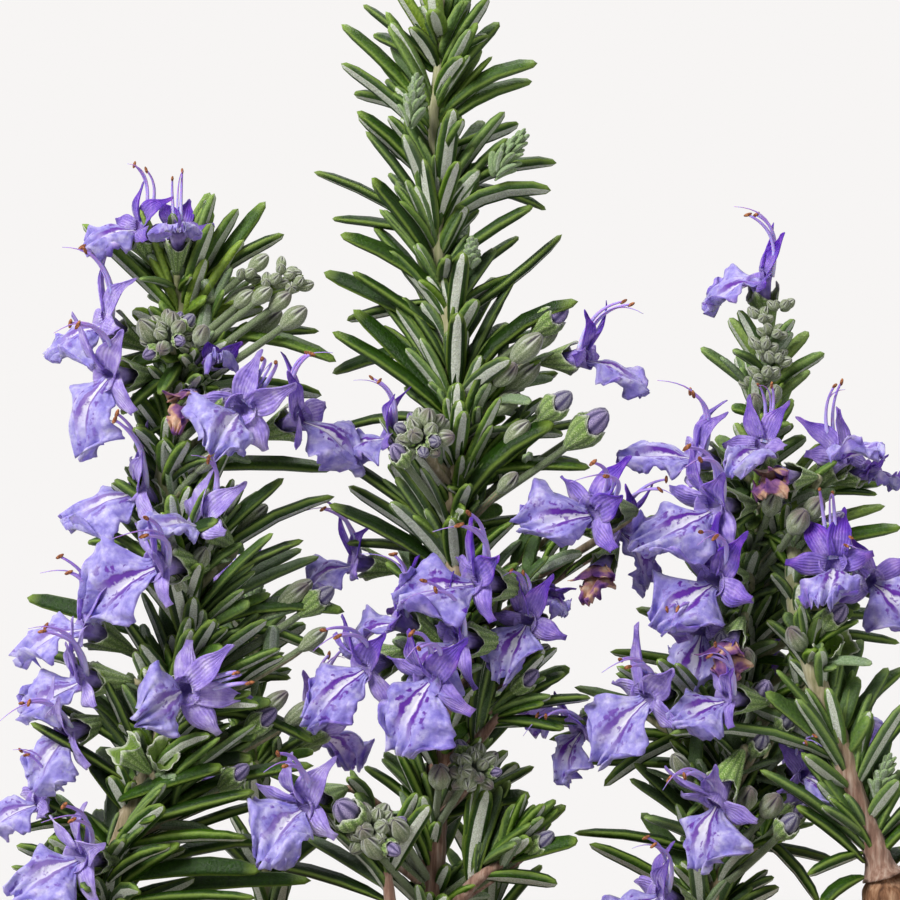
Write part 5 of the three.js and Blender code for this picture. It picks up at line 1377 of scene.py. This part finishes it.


# The buds: round and closed, each in its grey felted calyx with a crossed seam at the end, some with
# the folded lilac corolla pushing out. They stand close together on short stalks.

# Bud felt: dense short hairs over green, grey-white on top, faintly purple along the seams. Painted shade
# darkens the furrows between its ribs and, dark purple-grey, the creases where its teeth meet.
bud_skin, tree, shader = new_finish("grey_felted_bud")
where = add_node(tree, "TexCoord").outputs["Object"]
rim, dusk, rib, crease = [add_node(tree, "Attribute", attribute_name=mark).outputs["Fac"]
                          for mark in ("along", "vivid", "lip", "across")]
hairs = add_node(tree, "TexNoise", {"Vector": where, "Scale": 7500.0, "Detail": 3.0})
felt_grey = add_node(tree, "ValToRGB", {0: hairs},
    stops=((0.3, "#646f48"), (0.5, "#8f9a72"), (0.72, "#cacfb8")))
seam = add_node(tree, "MapRange", {0: rim, 1: 0.3, 2: 1.0, 3: 0.0, 4: 0.9})
seamed = add_node(tree, "Mix", {0: seam, 6: felt_grey, 7: "#e6e8de"}, data_type="RGBA")
dusky = add_node(tree, "Mix", {0: dusk, 6: seamed, 7: "#6d5560"}, data_type="RGBA")
# Painted shade: the felt is darkened in the furrows between the ribs.
furrow_shade = add_node(tree, "MapRange", {0: rib, 1: 0.0, 2: 0.6, 3: 0.5, 4: 0.0})
furrow_shaded = add_node(tree, "Mix", {0: furrow_shade, 6: dusky, 7: "#4a6034"}, data_type="RGBA")
# Painted shade: the creases where the teeth meet are darkened to a dark purple-grey.
crease_shade = add_node(tree, "MapRange", {0: crease, 1: 0.5, 2: 0.9, 3: 0.0, 4: 0.85})
creased = add_node(tree, "Mix", {0: crease_shade, 6: furrow_shaded, 7: "#3d3048"}, data_type="RGBA")
bump = add_node(tree, "Bump", {"Height": hairs, "Strength": 0.8, "Distance": 0.0002})
connect(tree, shader, {"Base Color": creased, "Normal": bump, "Roughness": 0.95, "Specular IOR Level": 0.2,
    "Sheen Weight": 0.4})


def draw_young_bud(mesh, marks, dusk):
    """A closed bud along +X, 8.5 mm long: the calyx's three teeth meet in creases over its end."""
    stations = [(0, 0), (0.0, 0.4), (0.7, 1.0), (1.8, 1.6), (3.1, 2.0), (4.4, 2.12), (5.6, 1.98), (6.7, 1.6),
                (7.5, 1.15), (8.1, 0.65), (8.3, 0)]
    made = bmesh.ops.create_uvsphere(mesh, u_segments=30, v_segments=10, radius=1)["verts"]
    for vert in made:
        ring, turn = ring_and_turn(vert, 10)
        x, thick = stations[ring]
        # How far round it is from the nearest crease, in degrees.
        off = abs((turn * 1.5 / math.pi + 0.5) % 1 - 0.5) * 120
        opening = ramp(2.6, 6.5, x)
        crease = opening * (1 - ramp(4, 16, off))
        rim = opening * ramp(6, 18, off) * (1 - ramp(22, 36, off))
        thick *= 1 - 0.3 * crease + 0.06 * rim + 0.035 * math.cos(RIBS * turn) * (1 - opening)
        vert.co = Vector((x, thick * math.cos(turn), thick * math.sin(turn)))
        vert[marks["along"]] = rim
        # The crease share also sets where the felt paints shade into the creases.
        vert[marks["across"]] = crease
        vert[marks["vivid"]] = dusk * ramp(4.5, 8, x)
        vert[marks["lip"]] = 0.5 + 0.5 * math.cos(RIBS * turn)
    lay_finish(made, 1)
    return made


def draw_bud(mesh, marks, foot, way, length, radius, ripe):
    """A bud: closed while young, then the folded corolla in a calyx whose three teeth lie against it."""
    if ripe < 0.4:
        made = draw_young_bud(mesh, marks, 0.2 + 2 * ripe)
    else:
        made = draw_calyx(mesh, marks, 0.15, 0.7)
        lay_finish(made, 2)
        stations = [(3.0, 1.2), (4.6, 1.75), (6.2, 1.9), (7.6, 1.6), (8.6, 1.1), (9.2, 0.5)]
        dome = bmesh.ops.create_uvsphere(mesh, u_segments=24, v_segments=7, radius=1)["verts"]
        for vert in dome:
            ring, turn = ring_and_turn(vert, 7)
            x, thick = stations[min(max(ring - 1, 0), 5)]
            thick = thick * (1 + 0.06 * math.cos(6 * turn)) if 0 < ring < 7 else 0
            vert.co = Vector((x, thick * math.cos(turn), thick * math.sin(turn)))
            vert[marks["along"]] = ring / 7
            vert[marks["across"]] = math.cos(6 * turn)
            vert[marks["vivid"]] = ripe
        lay_finish(dome, 0)
        made += dome
    bmesh.ops.scale(mesh, verts=made, vec=(length / 8.5, radius / 2.1, radius / 2.1))
    bmesh.ops.transform(mesh, verts=made, matrix=stand(foot, way, 1))
    return made


# Folded corolla of a bud: grey-lilac and downy, with dark violet painted shade in the grooves where its folds
# meet.
folded_skin, tree, shader = new_finish("downy_folded_petal")
where = add_node(tree, "TexCoord").outputs["Object"]
across = add_node(tree, "Attribute", attribute_name="across").outputs["Fac"]
vivid = add_node(tree, "Attribute", attribute_name="vivid").outputs["Fac"]
hairs = add_node(tree, "TexNoise", {"Vector": where, "Scale": 7500.0, "Detail": 3.0})
green_grey = add_node(tree, "ValToRGB", {0: hairs}, stops=((0.3, "#5a6a4a"), (0.7, "#a3ab92")))
lilac_grey = add_node(tree, "ValToRGB", {0: hairs}, stops=((0.3, "#5b4a86"), (0.7, "#b3a5c4")))
ripened = add_node(tree, "Mix", {0: vivid, 6: green_grey, 7: lilac_grey}, data_type="RGBA")
# Painted shade: the grooves between the six folds are darkened to a deep violet.
dark_line_share = add_node(tree, "MapRange", {0: across, 1: 0.3, 2: -0.7, 3: 0.0, 4: 0.9})
fold_shaded = add_node(tree, "Mix", {0: dark_line_share, 6: ripened, 7: "#2f2257"}, data_type="RGBA")
bump = add_node(tree, "Bump", {"Height": hairs, "Strength": 0.5, "Distance": 0.0002})
connect(tree, shader, {"Base Color": fold_shaded, "Normal": bump, "Roughness": 0.8, "Sheen Weight": 0.3})

BUDS_IN_CLUSTER = 18
# Which way the clusters face.
CLUSTER_AXIS = Vector((0, -0.65, 0.76))

for cluster, on, x, y, z, spread, radius in BUD_CLUSTERS:
    chance = random.Random(f"buds {cluster}")
    mesh, marks = start_shape("along", "across", "vivid", "lip")
    middle = Vector((x, y, z))
    side = CLUSTER_AXIS.orthogonal().normalized()
    for number in range(BUDS_IN_CLUSTER):
        lean = math.acos(1 - 1.3 * (number + 0.5) / BUDS_IN_CLUSTER)
        outwards = side.copy()
        outwards.rotate(Quaternion(CLUSTER_AXIS, GOLDEN_TURN * number + chance.gauss(0, 0.15)))
        way = CLUSTER_AXIS * math.cos(lean) + outwards * math.sin(lean)
        size = radius * chance.uniform(0.46, 0.7)
        ripe = chance.choice((0, 0.1, 0.3, 0.6, 1)) if number > 4 else chance.choice((0, 0.2))
        foot = middle + way * (spread * 0.4)
        way = (way + CLUSTER_AXIS * 0.25 + jitter(chance, 0.1)).normalized()
        draw_bud(mesh, marks, foot, way, size * (2.7 + 0.7 * ripe), size, ripe)
        stalk = bent(middle - CLUSTER_STALK * 2, middle, foot + way * 0.3)
        draw_rod(mesh, stalk, lambda share: 0.45, 6, 4)
    buds = make_piece(mesh, f"bud_cluster_{cluster}", folded_skin, bud_skin, calyx_skin)
    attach(buds, "root")
    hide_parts(f"buds_{cluster}")


# Single buds on the shoots, as in the solids, and young ones that the solids don't have. They grow
# from the stem on stalks of their own: [middle x, y, z, radius, length].
YOUNG_BUDS = {
    "left": [
        [-28.2, -7, 258.7, 1.5, 5], [-26.1, -8, 255.8, 1.4, 4.8], [-24, -7, 257.5, 1.4, 4.6],
        [-22.5, -7, 255.4, 1.4, 4.6], [-27.6, -9, 253.8, 1.5, 5], [-24.9, -8, 253, 1.6, 5.5],
        [-22.8, -8, 250.6, 1.9, 6.5], [-30.3, -8, 253.3, 1.5, 5], [-30, -6, 256.8, 1.4, 4.6],
        [-45, -12, 248.5, 1.9, 6.5], [-36.6, -13, 247.8, 1.6, 5.5], [-33.6, -11, 238, 1.7, 6],
        [-19.8, -4, 208, 2, 8], [-22.5, -3, 209.5, 1.9, 8], [-28.2, -7, 190, 1.9, 8],
        [-40.5, -10, 211, 1.8, 7], [-36.8, -10, 214.8, 1.7, 6.5],
    ],
    "centre": [
        [15.3, -4, 250.3, 2.3, 8], [12, -7, 246.2, 2.2, 8.5], [15.9, -8, 237.2, 2.2, 8],
        [20.7, -8, 233.8, 2.6, 10], [8.7, -6, 242.2, 1.8, 6.5], [10.5, -7, 233.5, 1.9, 7],
        [-7.5, -12, 229.8, 1.7, 6], [-1.5, -11, 182.5, 2.1, 7], [2.7, -11, 182.2, 1.9, 6],
        [-15, -13, 176.8, 2.7, 8], [-11.7, -13, 172.3, 2, 7], [-7.8, -12, 174.7, 2, 7],
        [12.8, -6, 173.5, 1.7, 6],
    ],
    "right": [
        [51.8, -11, 220.3, 2.1, 7], [54.3, -10, 222.2, 1.9, 6.5], [48, -9, 223, 1.9, 7],
        [43.8, -10, 199.8, 1.9, 7], [46.5, -9, 194.5, 1.9, 7], [48, -9, 178, 2.1, 7],
        [44.2, -10, 179.2, 1.9, 7], [50.2, -9, 174.7, 2, 7], [40.5, -10, 202, 1.8, 6.5],
        [46.8, 0, 250.8, 1.3, 4.5], [48.9, -1, 248.5, 1.3, 4.5], [47.1, -2, 246.2, 1.3, 4.5],
        [49.2, -2, 244.3, 1.4, 4.8], [47.4, -2, 242.2, 1.4, 4.8], [45.8, -3, 238, 1.5, 5],
        [48.8, -3, 239.2, 1.5, 5], [50.2, 0, 252.2, 1.2, 4],
    ],
}
for name in [shoot for shoot in SHOOTS if shoot in NUBS]:
    chance = random.Random(f"small growth of {name}")
    mesh, marks = start_shape("along", "across", "vivid", "lip")
    for x, y, z, radius, length in NUBS[name] + YOUNG_BUDS.get(name, []):
        foot, way = nub_axis(name, Vector((x, y, z)), length)
        if radius > 2.25:
            ripe = 1
        else:
            ripe = chance.choice((0.1, 0.3, 0.6, 1) if radius > 1.6 else (0, 0.2))
        if radius > 1.45:
            draw_bud(mesh, marks, foot, way, length * 0.8, radius * 0.8, ripe)
            lay_finish(draw_stalk(mesh, name, foot + way * 0.4, way), 1)
            continue
        # The youngest stand in a whorl of tiny ones.
        for turn in range(5):
            apart = Vector((math.cos(1.26 * turn), math.sin(1.26 * turn), chance.uniform(-0.6, 0.6)))
            draw_bud(mesh, marks, foot + way * 1.2 + apart * 0.5, (way + apart * 0.9).normalized(),
                     length * chance.uniform(0.45, 0.6), radius * chance.uniform(0.5, 0.65), 0)
    small = make_piece(mesh, f"small_buds_{name}", folded_skin, bud_skin, calyx_skin)
    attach(small, "root")
    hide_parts(f"shoot_{name}")
